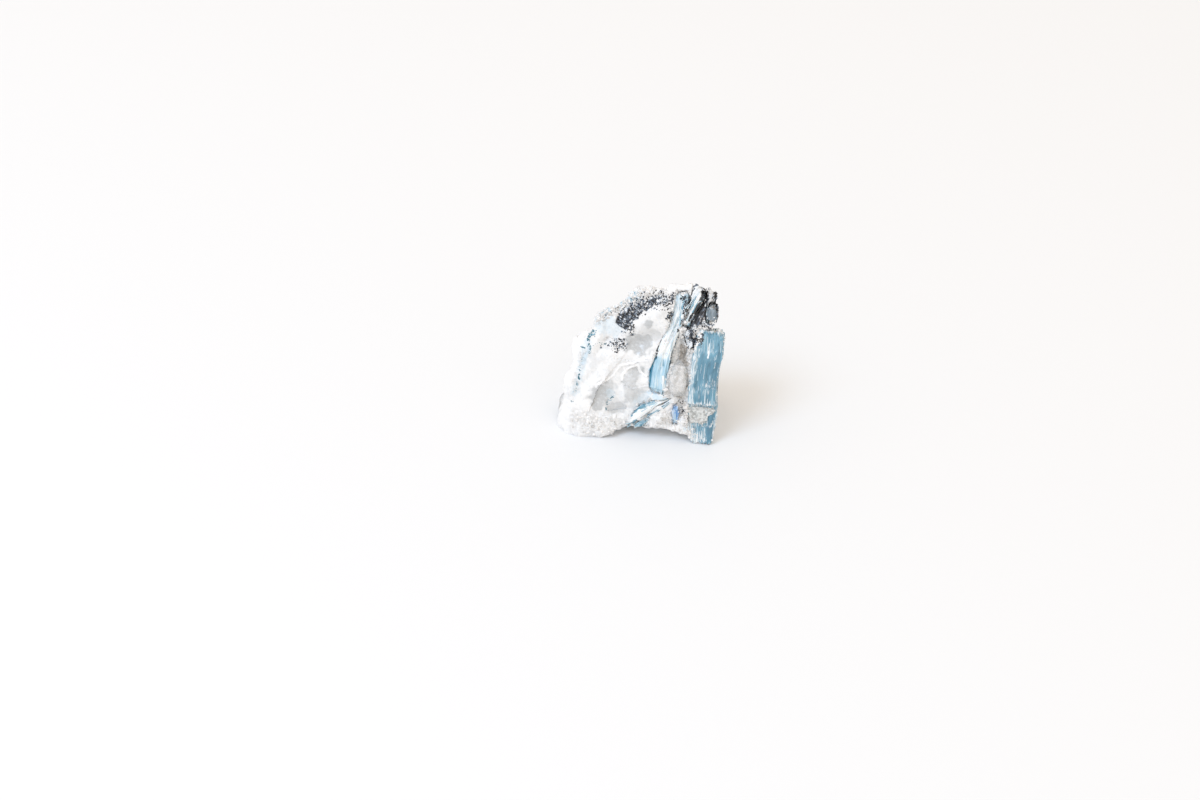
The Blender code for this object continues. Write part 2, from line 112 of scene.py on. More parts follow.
def thinMesh(piece, triangles):
    # collapses the flattest edges first, which leaves flat facets and crisp ridges
    thin = piece.modifiers.new("thin", "DECIMATE")
    thin.ratio = triangles / (2 * len(piece.data.polygons))
    bpy.context.view_layer.update()
    mesh = bpy.data.meshes.new_from_object(piece.evaluated_get(bpy.context.evaluated_depsgraph_get()))
    piece.modifiers.clear()
    piece.data = mesh
    return piece


def reshape(piece, moveVertex):
    # moveVertex(place, normal) gives each vertex its new place
    bm = bmesh.new()
    bm.from_mesh(piece.data)
    bm.normal_update()
    moved = [moveVertex(vert.co.copy(), vert.normal.copy()) for vert in bm.verts]
    for vert, place in zip(bm.verts, moved):
        vert.co = place
    bm.to_mesh(piece.data)
    bm.free()


def paintShare(piece, name, shareAt):
    # a float attribute that the material reads
    attribute = piece.data.attributes.new(name, "FLOAT", "POINT")
    attribute.data.foreach_set("value", [shareAt(vert.co) for vert in piece.data.vertices])


def finishPiece(piece, material, nodes=(), sharpAngle=30):
    bm = bmesh.new()
    bm.from_mesh(piece.data)
    for vert in bm.verts:
        vert.co.z = max(vert.co.z, 0.0)  # nothing reaches under the floor
    bmesh.ops.scale(bm, verts=bm.verts, vec=(mm, mm, mm))
    bm.to_mesh(piece.data)
    bm.free()
    piece.data.shade_smooth()
    piece.data.set_sharp_from_angle(angle=math.radians(sharpAngle))
    piece.data.materials.clear()
    piece.data.materials.append(material)
    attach(piece, "root")
    if nodes:
        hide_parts(*nodes)
    print(piece.name, len(piece.data.polygons), "faces")
    return piece


def clamp(value):
    return max(0.0, min(1.0, value))


def chance(*values):
    # 0 to 1, the same each time for the same values
    spot = Vector((values + (0.0, 0.0, 0.0))[:3])
    return 0.5 + 0.5 * noise.cell(spot * 1.7 + Vector((0.5, 0.5, 0.5)))


blockTurns = random.Random(5)
blockAxes = [list(Euler([blockTurns.uniform(0, 6.3) for _ in range(3)]).to_matrix()) for _ in range(48)]


def faceted(place, size, relief):
    # broken crystal: each cell of a Voronoi pattern is a block turned its own way, and the block
    # that stands highest shows its corner
    spot = place / size
    highest = -9.0
    for middle in noise.voronoi(spot)[1][:3]:
        axes = blockAxes[int(47.9 * (0.5 + 0.5 * noise.cell(middle * 9.7)))]
        offset = spot - middle
        highest = max(highest, -max(abs(offset.dot(axis)) for axis in axes))
    return 2 * relief * (max(highest, -0.62) + 0.36)


# Marks on the display face, in mm across and up from its lower right corner. Each is a stroke
# through points, with its half width and its strength.
faceMarks = {
    "mica": (  # black flakes, and a painted shadow beside the top lath
        (((-7.8, 25.4), (-8.0, 24.6)), 0.5, 1.0),
        (((-8.7, 24.5), (-10.6, 24.5), (-12.6, 23.5), (-14.6, 22.5), (-15.5, 21.2), (-16.1, 20.4)), 1.3, 0.9),
        (((-14.8, 21.0), (-14.9, 19.4)), 1.0, 0.8),
        (((-15.0, 18.9), (-14.3, 18.0)), 0.25, 1.0),
        (((-10.9, 23.2), (-12.0, 22.2), (-13.1, 21.0), (-14.2, 20.0)), 0.8, 0.42),
        (((-9.6, 23.8), (-8.9, 23.0)), 0.9, 0.4),
        (((-8.0, 22.2), (-8.3, 21.5), (-8.5, 21.2)), 0.6, 1.0),
        (((-17.0, 18.1), (-16.3, 18.3), (-15.6, 18.2)), 0.16, 0.8),
        (((-18.4, 15.9), (-17.3, 16.6), (-15.5, 16.6)), 1.0, 0.62),
        (((-17.2, 15.2), (-15.4, 15.6)), 0.8, 0.6),
        (((-19.6, 15.4),), 0.4, 0.9),
        (((-9.8, 15.7), (-10.15, 14.0)), 0.2, 1.0),
        (((-7.3, 16.9), (-7.6, 15.7), (-7.7, 14.1)), 0.7, 0.46),
        (((-5.2, 18.8), (-4.2, 17.8)), 0.9, 0.45),
        (((-3.6, 18.6), (-3.8, 16.9)), 0.36, 0.85),
        (((-2.5, 19.2), (-2.4, 18.3), (-2.7, 17.2)), 0.36, 0.85),
        (((-7.0, 24.6), (-6.7, 22.0), (-7.0, 19.6)), 0.7, 0.3),
        (((-6.2, 25.3), (-5.6, 24.2), (-5.6, 22.6)), 0.62, 0.85),
        # painted shadow: the dark line left of the top lath, painted as black mica
        (((-5.8, 22.4), (-6.7, 19.0)), 1.0, 0.5),
        (((-2.5, 26.8), (-3.1, 24.9), (-4.0, 22.9), (-4.9, 21.5)), 0.5, 1.1),
        (((-0.6, 25.7), (-0.3, 24.0), (-0.1, 22.3), (-0.2, 20.8)), 0.4, 1.0),
        (((-2.0, 23.2), (-1.9, 21.4)), 0.3, 0.6),
        (((-5.5, 8.0), (-5.0, 6.8), (-4.9, 5.3)), 0.7, 0.5),
        (((-5.4, 16.5), (-5.2, 13.0), (-4.8, 9.0)), 0.6, 0.26),
        (((-18.6, 21.6), (-16.4, 23.4), (-13.2, 25.4), (-10.0, 26.0)), 0.5, 0.3),
        (((-22.6, 15.2), (-19.2, 16.0)), 0.5, 0.35),
    ),
    "teal": (  # specks of dark kyanite
        (((-21.2, 18.0), (-21.5, 17.2), (-21.9, 16.3)), 0.42, 0.8),
        (((-20.7, 18.0), (-20.7, 17.0)), 0.3, 0.6),
        (((-22.8, 15.0), (-22.4, 15.0)), 0.3, 0.9),
        (((-21.7, 15.6), (-21.4, 15.0), (-21.5, 14.1)), 0.36, 0.75),
        (((-21.5, 14.1), (-22.0, 13.0)), 0.25, 0.45),
        (((-23.0, 12.5), (-22.7, 12.4)), 0.25, 0.5),
        (((-22.9, 11.0),), 0.28, 0.9),
        (((-23.1, 10.2), (-23.0, 9.4)), 0.26, 0.8),
        (((-23.3, 8.6),), 0.28, 0.8),
        (((-23.5, 7.7),), 0.25, 0.5),
        (((-24.1, 6.7),), 0.28, 0.5),
        (((-24.1, 5.4),), 0.34, 0.8),
        (((-21.0, 15.4), (-20.0, 16.0), (-18.9, 15.9), (-18.2, 16.0)), 0.3, 0.6),
        (((-17.5, 6.7), (-16.8, 7.0)), 0.36, 0.72),
        (((-17.9, 5.7),), 0.4, 0.65),
        (((-18.0, 4.7),), 0.36, 0.75),
        (((-8.4, 8.0),), 0.3, 0.8),
        (((-13.8, 2.4), (-12.9, 2.2), (-11.2, 2.5)), 0.5, 0.7),
        (((-14.4, 25.2), (-13.3, 25.1)), 0.7, 0.5),
        (((-18.9, 21.6), (-16.7, 23.2), (-15.2, 24.2), (-12.6, 25.5)), 0.8, 0.36),
        (((-4.4, 1.1), (-1.5, 0.3)), 0.6, 0.45),
    ),
    "deep": (  # the darker blue of a blade's edges, and a painted shadow beside the top lath
        (((-10.15, 14.6), (-10.75, 12.4), (-10.95, 10.3), (-10.95, 9.4)), 0.3, 1.2),
        (((-7.9, 21.1), (-8.3, 20.3), (-8.8, 19.0), (-9.0, 18.3)), 0.34, 1.2),
        # painted shadow: the dark line that the top lath casts along its left side
        (((-5.9, 22.8), (-6.9, 19.0)), 1.0, 0.6),
        (((-14.2, 3.1), (-13.0, 4.6), (-11.9, 5.8), (-10.8, 6.5)), 0.33, 0.75),
        (((-9.6, 5.1), (-8.5, 5.9), (-7.5, 6.6), (-6.7, 7.6)), 0.44, 1.1),
        (((-13.9, 2.6), (-12.4, 3.3)), 0.4, 0.8),
        (((-6.4, 6.2), (-5.9, 5.4), (-6.0, 4.4)), 0.5, 0.95),
        (((-0.2, 5.6), (0.0, 3.7), (-0.3, 1.1)), 0.7, 0.62),
        (((-1.8, 3.9), (-1.5, 1.2)), 0.4, 0.55),
        (((-2.7, 3.4), (-2.5, 2.4)), 0.3, 0.5),
        (((-2.6, 15.4), (-2.9, 10.0)), 0.5, 0.28),
        (((-1.0, 14.2), (-1.2, 7.6)), 1.7, 0.42),
        (((0.5, 17.6), (0.2, 8.0)), 0.5, 0.25),
    ),
    "frost": (  # fine white quartz that coats the blades
        (((-7.6, 19.2), (-8.2, 17.4), (-8.6, 15.9)), 2.3, 0.56),
        (((-8.6, 17.0), (-9.2, 15.6)), 0.7, 0.8),
        (((-7.2, 26.4), (-6.9, 23.9), (-7.1, 21.8), (-7.7, 19.0)), 0.9, 0.48),
        (((-7.6, 26.2), (-5.4, 26.3)), 0.7, 0.9),
        (((-8.6, 11.3), (-8.4, 9.0)), 0.3, 0.9),
        (((-10.4, 8.2), (-8.2, 7.9)), 0.5, 0.7),
        (((-1.1, 18.0), (-1.2, 16.5), (-1.3, 15.2)), 0.16, 0.95),
        (((-3.2, 16.3), (-3.7, 13.8), (-3.9, 10.3), (-3.8, 7.0)), 0.7, 0.5),
        (((-2.8, 19.8), (-3.0, 18.4), (-3.6, 17.2)), 0.5, 1.0),
        (((-1.3, 18.5), (-1.6, 7.5)), 2.2, 0.1),
        (((-3.6, 7.0), (0.4, 7.2)), 0.5, 0.5),
        (((-3.9, 3.3), (-3.3, 1.8), (-2.3, 0.6)), 1.1, 0.6),
        (((-2.6, 3.8), (-1.2, 0.8)), 1.2, 0.3),
        (((-2.8, 20.2), (0.6, 20.2)), 0.6, 0.6),
        (((-2.0, 9.5), (-0.6, 10.6)), 1.6, 0.28),
        (((-1.4, 10.5), (0.6, 10.8)), 0.16, 0.8),
        (((0.9, 5.6), (0.6, 1.4)), 0.4, 0.5),
        (((-0.9, 3.0), (-1.0, 0.8)), 0.2, 0.6),
        (((-13.8, 3.1), (-12.0, 4.7), (-10.0, 5.7), (-8.0, 6.9)), 0.62, 0.85),
        (((-3.4, 26.8), (-4.6, 24.4), (-5.9, 21.0)), 1.0, 0.75),
        (((-2.6, 23.8), (-1.0, 24.2)), 0.5, 0.4),
    ),
    "crust": (  # thin grey crust round the raised one
        (((-3.7, 6.3), (0.3, 6.3)), 0.5, 0.6),
        (((-3.7, 4.4), (-0.9, 4.2)), 0.6, 0.6),
    ),
    "grey": (  # clear quartz, and painted shade on facets and scoops turned from the light
        (((-14.0, 16.3), (-12.3, 16.5)), 2.0, 1.0),
        (((-14.4, 10.2), (-13.3, 12.0)), 1.4, 0.75),
        (((-14.0, 8.6), (-13.4, 6.6)), 1.6, 0.6),
        (((-19.4, 5.6), (-18.9, 7.6)), 1.8, 1.0),
        (((-17.6, 8.8),), 1.3, 0.6),
        (((-17.0, 5.0), (-15.6, 5.2)), 1.2, 0.6),
        (((-11.8, 20.1),), 0.8, 0.9),
        (((-10.6, 18.4), (-9.8, 17.8)), 1.1, 0.4),
        (((-10.2, 11.2),), 0.7, 0.5),
        (((-5.6, 19.3), (-5.8, 17.4), (-6.2, 14.2)), 0.5, 0.95),
        (((-7.3, 16.6), (-7.6, 15.1), (-7.7, 14.1)), 0.7, 0.7),
        (((-4.6, 18.5), (-5.0, 14.0), (-4.8, 8.0)), 1.3, 0.4),
        (((-6.4, 11.0), (-6.8, 9.6)), 1.9, 0.5),
    ),
    "vein": (  # healed cracks, white and a little raised
        (((-16.3, 12.2), (-15.2, 12.8), (-13.9, 13.1), (-12.8, 13.7), (-11.3, 14.3)), 0.2, 1.0),
        (((-15.6, 10.0), (-15.5, 11.0), (-14.6, 12.2), (-13.3, 12.9)), 0.2, 0.9),
        (((-19.7, 8.8), (-18.2, 9.7), (-17.2, 10.6), (-16.1, 12.2)), 0.2, 0.7),
        (((-13.1, 12.9), (-12.7, 11.8), (-11.4, 11.0)), 0.2, 0.7),
    ),
    "earth": (  # brown stain in the hollows
        (((-5.5, 16.7), (-5.6, 14.8), (-5.0, 13.9)), 0.7, 0.72),
        (((-4.75, 12.6), (-4.7, 9.8)), 0.35, 0.7),
        (((-5.3, 7.7), (-5.0, 5.3)), 0.75, 0.35),
        (((-4.2, 18.8), (-4.0, 16.8)), 0.9, 0.4),
        (((-8.4, 4.6), (-7.4, 3.6)), 0.9, 0.2),
    ),
    "rust": (
        (((-10.0, 23.9),), 0.36, 1.0),
        (((-15.2, 19.2),), 0.3, 0.9),
        (((-1.6, 24.5), (-0.7, 24.1)), 0.5, 0.75),
    ),
    "blueTint": (  # fine kyanite that tints the quartz
        (((-19.4, 19.2), (-17.6, 19.0)), 1.9, 0.5),
        (((-18.9, 22.3), (-16.4, 23.4), (-14.0, 24.4)), 1.3, 0.55),
        (((-22.0, 16.2), (-22.6, 12.0), (-23.6, 7.0)), 0.8, 0.45),
        (((-21.5, 15.0), (-22.6, 12.2)), 0.35, 1.1),
        (((-12.6, 6.2), (-11.4, 7.6)), 1.1, 0.4),
        (((-10.6, 8.3), (-9.4, 7.4), (-8.0, 7.1)), 0.6, 1.1),
        (((-3.4, 3.0), (-1.8, 1.2)), 1.1, 0.7),
        (((-17.4, 7.4),), 1.0, 0.6),
    ),
}
# on the other sides the same marks follow noise: (size in mm, where it starts, strength)
hiddenMarks = {
    "mica": (3.4, 0.38, 0.5),
    "teal": (3.0, 0.38, 0.5),
    "deep": (1.6, 0.15, 0.5),
    "frost": (2.1, 0.16, 0.5),
    "crust": (3.1, 0.5, 0.0),
    "vein": (0.9, 0.62, 0.0),
    "grey": (4.4, 0.10, 0.8),
    "earth": (2.8, 0.3, 0.3),
    "rust": (2.6, 0.46, 0.7),
    "blueTint": (3.8, 0.28, 0.4),
}
markShifts = {kind: Vector((7.1, 3.3, 5.7)) * place for place, kind in enumerate(hiddenMarks)}


def strokeShare(points, half, across, up):
    # 1 along the middle of a stroke, 0 at its half width and beyond
    nearest = half * half
    for start, end in zip(points, points[1:] or points):
        wayX, wayY = end[0] - start[0], end[1] - start[1]
        offX, offY = across - start[0], up - start[1]
        length = wayX * wayX + wayY * wayY
        share = clamp((offX * wayX + offY * wayY) / length) if length else 0.0
        nearest = min(nearest, (offX - wayX * share) ** 2 + (offY - wayY * share) ** 2)
    return min(1.0, 1.7 * (1 - nearest / (half * half)))


def markShare(kind, place):
    across, up, out = readOn(front, place)
    behind = clamp(-2.4 - out)  # 0 by the display face, 1 a millimetre further in
    best = 0.0
    if behind < 1:
        wander = noise.noise_vector(place / 0.7)
        for points, half, strength in faceMarks[kind]:
            # pieces that stand off the face carry the marks a little up and across
            share = strokeShare(points, half, across - 0.15 * out + 0.55 * half * wander.x,
                                up - 0.26 * out + 0.55 * half * wander.y)
            best = max(best, share * strength)
    if behind > 0:
        size, start, strength = hiddenMarks[kind]
        spread = clamp(3 * (noise.noise(place / size + markShifts[kind]) - start))
        best = max(best * (1 - behind), behind * strength * spread)
    return best


def paintMarks(piece, *kinds):
    for kind in kinds:
        paintShare(piece, kind, lambda place, kind=kind: markShare(kind, place))


# Materials


def toLinear(hexColour):
    parts = [int(hexColour[i:i + 2], 16) / 255 for i in (1, 3, 5)]
    linear = [part / 12.92 if part <= 0.04045 else ((part + 0.055) / 1.055) ** 2.4 for part in parts]
    return (*linear, 1.0)


def addNode(material, kind, links=None, ramp=None, **settings):
    # links gives each named input a value or another node's output; ramp gives (place, colour) pairs
    made = material.node_tree.nodes.new("ShaderNode" + kind)
    for name, value in settings.items():
        setattr(made, name, value)
    for name, value in (links or {}).items():
        if isinstance(value, bpy.types.NodeSocket):
            material.node_tree.links.new(value, made.inputs[name])
        else:
            made.inputs[name].default_value = value
    if ramp:
        elements = made.color_ramp.elements
        while len(elements) < len(ramp):
            elements.new(0.5)
        for element, (place, colour) in zip(elements, ramp):
            element.position = place
            element.color = toLinear(colour) if isinstance(colour, str) else (colour, colour, colour, 1)
    return made


def newMaterial(name):
    material = bpy.data.materials.new(name)
    material.use_nodes = True
    material.node_tree.nodes.clear()
    return material


def perMm(size):
    # the scale of a pattern whose features are this many mm across
    return 1 / (size * mm)


def finishShader(material, inputs):
    shader = addNode(material, "BsdfPrincipled", inputs)
    addNode(material, "OutputMaterial", {"Surface": shader.outputs[0]})
    return material


def readShare(material, name):
    return addNode(material, "Attribute", attribute_name=name).outputs["Fac"]


def blendPatch(material, colour, share, breakUp, hexColour, start=0.6, full=1.15):
    # a soft patch whose rim is broken up by a fine pattern; gives its share and the new colour
    edge = addNode(material, "Math", {0: share, 1: breakUp}, operation="ADD").outputs[0]
    part = addNode(material, "MapRange", {"Value": edge, "From Min": start, "From Max": full}).outputs[0]
    mixed = addNode(material, "Mix", {0: part, 6: colour, 7: toLinear(hexColour)}, data_type="RGBA")
    return part, mixed.outputs[2]


def blendSpecks(material, colour, share, specks, hexColour, widest=1.15):
    # specks that grow with their share until they meet
    limit = addNode(material, "Math", {0: share, 1: widest}, operation="MULTIPLY").outputs[0]
    inside = addNode(material, "Math", {0: limit, 1: specks}, operation="SUBTRACT").outputs[0]
    part = addNode(material, "MapRange", {"Value": inside, "From Min": -0.02, "From Max": 0.09}).outputs[0]
    return addNode(material, "Mix", {0: part, 6: colour, 7: toLinear(hexColour)}, data_type="RGBA").outputs[2]


def addFacets(material, place, size, tilt):
    # a height, in metres, that tilts each cell of a Voronoi pattern its own way, as broken crystal
    cells = addNode(material, "TexVoronoi", {"Vector": place, "Scale": perMm(size)})
    offset = addNode(material, "VectorMath", {0: place, 1: cells.outputs["Position"]}, operation="SUBTRACT").outputs[0]
    lean = addNode(material, "VectorMath", {0: cells.outputs["Color"], 1: (0.5, 0.5, 0.5)}, operation="SUBTRACT").outputs[0]
    height = addNode(material, "VectorMath", {0: offset, 1: lean}, operation="DOT_PRODUCT").outputs["Value"]
    return addNode(material, "Math", {0: height, 1: tilt}, operation="MULTIPLY").outputs[0]


quartzLook = {
    "milk": "#f5f6f7",
    "cloud": "#e2e4e6",
    "grey": "#c1c4c6",
    "earth": "#a7a19a",
    # painted shade: a greyer tone for the hollows of the fine relief
    "pitShade": "#f0f1f1",
    "mica": "#191a1f",
    "teal": "#3f7484",
    "blueTint": "#d6e6f1",
    "rust": "#a2734a",
    "veilSize": 2.4,
    "crystalSize": 1.25,
    "grainSize": 0.34,
    "speckSize": 0.26,
    "facets": ((1.7, 0.9), (0.62, 0.9)),  # size in mm and tilt of the glassy faces
}


def makeMilkyQuartz():
    # milky vein quartz, broken: white where fluid specks cloud it and grey where it is clear, with painted
    # shade on the facets turned from the light, glassy on fresh chips, and light goes a little way in
    look = quartzLook
    mat = newMaterial("milkyVeinQuartzBroken")
    place = addNode(mat, "TexCoord").outputs["Object"]
    veils = addNode(mat, "TexNoise", {"Vector": place, "Scale": perMm(look["veilSize"]), "Detail": 5.0,
                                      "Roughness": 0.62, "Distortion": 0.6}).outputs[0]
    grain = addNode(mat, "TexNoise", {"Vector": place, "Scale": perMm(look["grainSize"]), "Detail": 3.0}).outputs[0]
    crystals = addNode(mat, "TexVoronoi", {"Vector": place, "Scale": perMm(look["crystalSize"])})
    crystalTone = addNode(mat, "SeparateColor", {"Color": crystals.outputs["Color"]}).outputs
    dots = addNode(mat, "TexVoronoi", {"Vector": place, "Scale": perMm(look["speckSize"])}).outputs["Distance"]
    specks = addNode(mat, "Math", {0: grain, 1: 0.9, 2: dots}, operation="MULTIPLY_ADD").outputs[0]
    mixed = addNode(mat, "Math", {0: crystalTone[0], 1: 0.3, 2: veils}, operation="MULTIPLY_ADD").outputs[0]
    colour = addNode(mat, "ValToRGB", {"Fac": mixed}, ramp=[(0.42, look["cloud"]), (0.72, look["milk"])]).outputs[0]
    # painted shade: the hollows of the fine relief turn a little greyer
    colour = blendPatch(mat, colour, readShare(mat, "pitShade"), grain, look["pitShade"], 0.5, 1.6)[1]
    # the grey share is clear quartz and painted shade on facets turned from the light; it also lowers the roughness
    gloss, colour = blendPatch(mat, colour, readShare(mat, "grey"), mixed, look["grey"], 0.6, 1.5)
    colour = blendPatch(mat, colour, readShare(mat, "vein"), grain, look["milk"], 0.55, 0.95)[1]
    colour = blendPatch(mat, colour, readShare(mat, "blueTint"), grain, look["blueTint"], 0.5, 1.4)[1]
    colour = blendPatch(mat, colour, readShare(mat, "earth"), grain, look["earth"])[1]
    colour = blendSpecks(mat, colour, readShare(mat, "teal"), specks, look["teal"], 1.4)
    colour = blendSpecks(mat, colour, readShare(mat, "mica"), specks, look["mica"])
    colour = blendSpecks(mat, colour, readShare(mat, "rust"), specks, look["rust"])
    polish = addNode(mat, "Math", {0: crystalTone[1], 1: 0.3, 2: gloss}, operation="MULTIPLY_ADD").outputs[0]
    rough = addNode(mat, "MapRange", {"Value": polish, "To Min": 0.5, "To Max": 0.2}).outputs[0]
    wide, narrow = [addFacets(mat, place, *facet) for facet in look["facets"]]
    faces = addNode(mat, "Math", {0: wide, 1: narrow}, operation="ADD").outputs[0]
    strong = addNode(mat, "Math", {0: readShare(mat, "hackly"), 1: 0.8}, operation="MULTIPLY").outputs[0]
    faces = addNode(mat, "Bump", {"Height": faces, "Strength": strong, "Distance": 1.0}).outputs[0]
    relief = addNode(mat, "Bump", {"Height": grain, "Strength": 0.25, "Distance": 0.1 * mm, "Normal": faces}).outputs[0]
    return finishShader(mat, {"Base Color": colour, "Roughness": rough, "Normal": relief, "IOR": 1.544,
                              "Subsurface Weight": 0.12, "Subsurface Radius": (1.0, 0.97, 0.94),
                              "Subsurface Scale": 0.4 * mm})


grainLook = {"dark": "#cfcfce", "light": "#fbfaf9", "earth": "#978f85", "teal": "#4b8296"}


def makeQuartzGrains():
    # loose and half-loose quartz grains, broken: sugary, glassy on their chips
    look = grainLook
    mat = newMaterial("quartzGrainsBroken")
    colour = addNode(mat, "ValToRGB", {"Fac": readShare(mat, "tone")},
                     ramp=[(0.0, look["dark"]), (0.7, look["light"])]).outputs[0]
    colour = addNode(mat, "Mix", {0: readShare(mat, "earth"), 6: colour, 7: toLinear(look["earth"])},
                     data_type="RGBA").outputs[2]
    rough = addNode(mat, "MapRange", {"Value": readShare(mat, "tone"), "To Min": 0.12, "To Max": 0.4}).outputs[0]
    return finishShader(mat, {"Base Color": colour, "Roughness": rough, "IOR": 1.544,
                              "Subsurface Weight": 0.4, "Subsurface Radius": (1.0, 0.97, 0.94),
                              "Subsurface Scale": 0.6 * mm})


clearLook = {"tint": "#ffffff", "veil": "#dfe1e1", "flawSize": 0.5, "veilSize": 1.1}


def makeClearQuartz():
    # a glassy quartz grain, broken: partly see-through, with flaws and milky veils
    look = clearLook
    mat = newMaterial("clearQuartzBroken")
    place = addNode(mat, "TexCoord").outputs["Object"]
    flaws = addNode(mat, "TexNoise", {"Vector": place, "Scale": perMm(look["flawSize"]), "Detail": 4.0}).outputs[0]
    veils = addNode(mat, "TexNoise", {"Vector": place, "Scale": perMm(look["veilSize"]), "Detail": 3.0}).outputs[0]
    colour = addNode(mat, "ValToRGB", {"Fac": veils}, ramp=[(0.35, look["veil"]), (0.6, look["tint"])]).outputs[0]
    relief = addNode(mat, "Bump", {"Height": flaws, "Strength": 0.6, "Distance": 0.15 * mm}).outputs[0]
    rough = addNode(mat, "MapRange", {"Value": flaws, "From Min": 0.35, "From Max": 0.7,
                                      "To Min": 0.08, "To Max": 0.4}).outputs[0]
    return finishShader(mat, {"Base Color": colour, "Roughness": rough, "Normal": relief,
                              "IOR": 1.544, "Transmission Weight": 0.35})


crustLook = {"light": "#d9dcdb", "dark": "#a8abaa", "speck": "#4e7f92", "grainSize": 0.3, "speckSize": 0.8}


def makeGreyCrust():
    # a grey sugary crust of fine quartz grains, with a few specks of the blade it sits on
    look = crustLook
    mat = newMaterial("greySugaryQuartz")
    place = addNode(mat, "TexCoord").outputs["Object"]
    grains = addNode(mat, "TexVoronoi", {"Vector": place, "Scale": perMm(look["grainSize"])})
    tone = addNode(mat, "SeparateColor", {"Color": grains.outputs["Color"]}).outputs[0]
    colour = addNode(mat, "ValToRGB", {"Fac": tone}, ramp=[(0.1, look["dark"]), (0.7, look["light"])]).outputs[0]
    specks = addNode(mat, "TexVoronoi", {"Vector": place, "Scale": perMm(look["speckSize"])}).outputs["Distance"]
    part = addNode(mat, "MapRange", {"Value": specks, "From Min": 0.2, "From Max": 0.14}).outputs[0]
    colour = addNode(mat, "Mix", {0: part, 6: colour, 7: toLinear(look["speck"])}, data_type="RGBA").outputs[2]
    relief = addNode(mat, "Bump", {"Height": grains.outputs["Distance"], "Strength": 0.6,
                                   "Distance": 0.12 * mm}, invert=True).outputs[0]
    return finishShader(mat, {"Base Color": colour, "Roughness": 0.42, "Normal": relief, "IOR": 1.544,
                              "Subsurface Weight": 0.15, "Subsurface Radius": (1.0, 0.95, 0.9),
                              "Subsurface Scale": 0.4 * mm})


# the grey, blue-grey and pale tones here are painted sheen on black mica; salt is quartz
micaLook = {"black": "#131418", "leaf": "#3e4552", "sheenBlueGrey": "#788798", "pale": "#a3b1bf", "salt": "#e6ebef",
            "flakeSize": 0.27, "leafLength": 1.6}


def makeBlackMica(name, saltShare, along=None):
    # biotite mica, split along its leaves: near black with a pearly gloss that changes from flake to flake,
    # and painted sheen in the grey and blue-grey tones of some flakes; saltShare of the flakes are quartz
    # grains that show between them, and along is the way that long leaves run
    look = micaLook
    mat = newMaterial(name)
    place = addNode(mat, "TexCoord").outputs["Object"]
    if along:
        turned = along.to_track_quat("Z", "Y").to_euler()
        place = addNode(mat, "Mapping", {"Vector": place, "Rotation": turned}, vector_type="TEXTURE").outputs[0]
        place = addNode(mat, "Mapping", {"Vector": place, "Scale": (1, 1, look["flakeSize"] / look["leafLength"])}).outputs[0]
    flakes = addNode(mat, "TexVoronoi", {"Vector": place, "Scale": perMm(look["flakeSize"])})
    tone = addNode(mat, "SeparateColor", {"Color": flakes.outputs["Color"]}).outputs
    lifted = addNode(mat, "Math", {0: tone[0], 1: readShare(mat, "salt")}, operation="ADD").outputs[0]
    start = 1.0 - saltShare
    colour = addNode(mat, "ValToRGB", {"Fac": lifted},
                     ramp=[(0.0, look["black"]), (start * 0.36, look["black"]), (start * 0.6, look["leaf"]),
                           (start * 0.92, look["sheenBlueGrey"]), (start, look["salt"])]).outputs[0]
    rough = addNode(mat, "MapRange", {"Value": tone[1], "To Min": 0.16, "To Max": 0.5}).outputs[0]
    relief = addNode(mat, "Bump", {"Height": tone[2], "Strength": 0.6, "Distance": 0.08 * mm}).outputs[0]
    return finishShader(mat, {"Base Color": colour, "Roughness": rough, "Normal": relief, "IOR": 1.6})


def makeLooseMica():
    # single mica flakes: black, with painted sheen in steel grey and pale tones on some, glossy on their flat faces
    look = micaLook
    mat = newMaterial("biotiteMicaFlakes")
    colour = addNode(mat, "ValToRGB", {"Fac": readShare(mat, "tone")},
                     ramp=[(0.0, look["black"]), (0.3, look["black"]), (0.6, look["leaf"]),
                           (0.86, look["sheenBlueGrey"]), (1.0, look["pale"])]).outputs[0]
    return finishShader(mat, {"Base Color": colour, "Roughness": 0.26, "IOR": 1.6})


kyaniteLook = {"streakWidth": 0.36, "streakLength": 6.0, "hairWidth": 0.12, "hairLength": 2.2,
               "patchWidth": 1.3, "patchLength": 4.0, "frost": "#f1f5f7", "mica": "#1b1d24", "speckSize": 0.3,
               "crust": "#c3c8c8", "rust": "#7d6a58"}


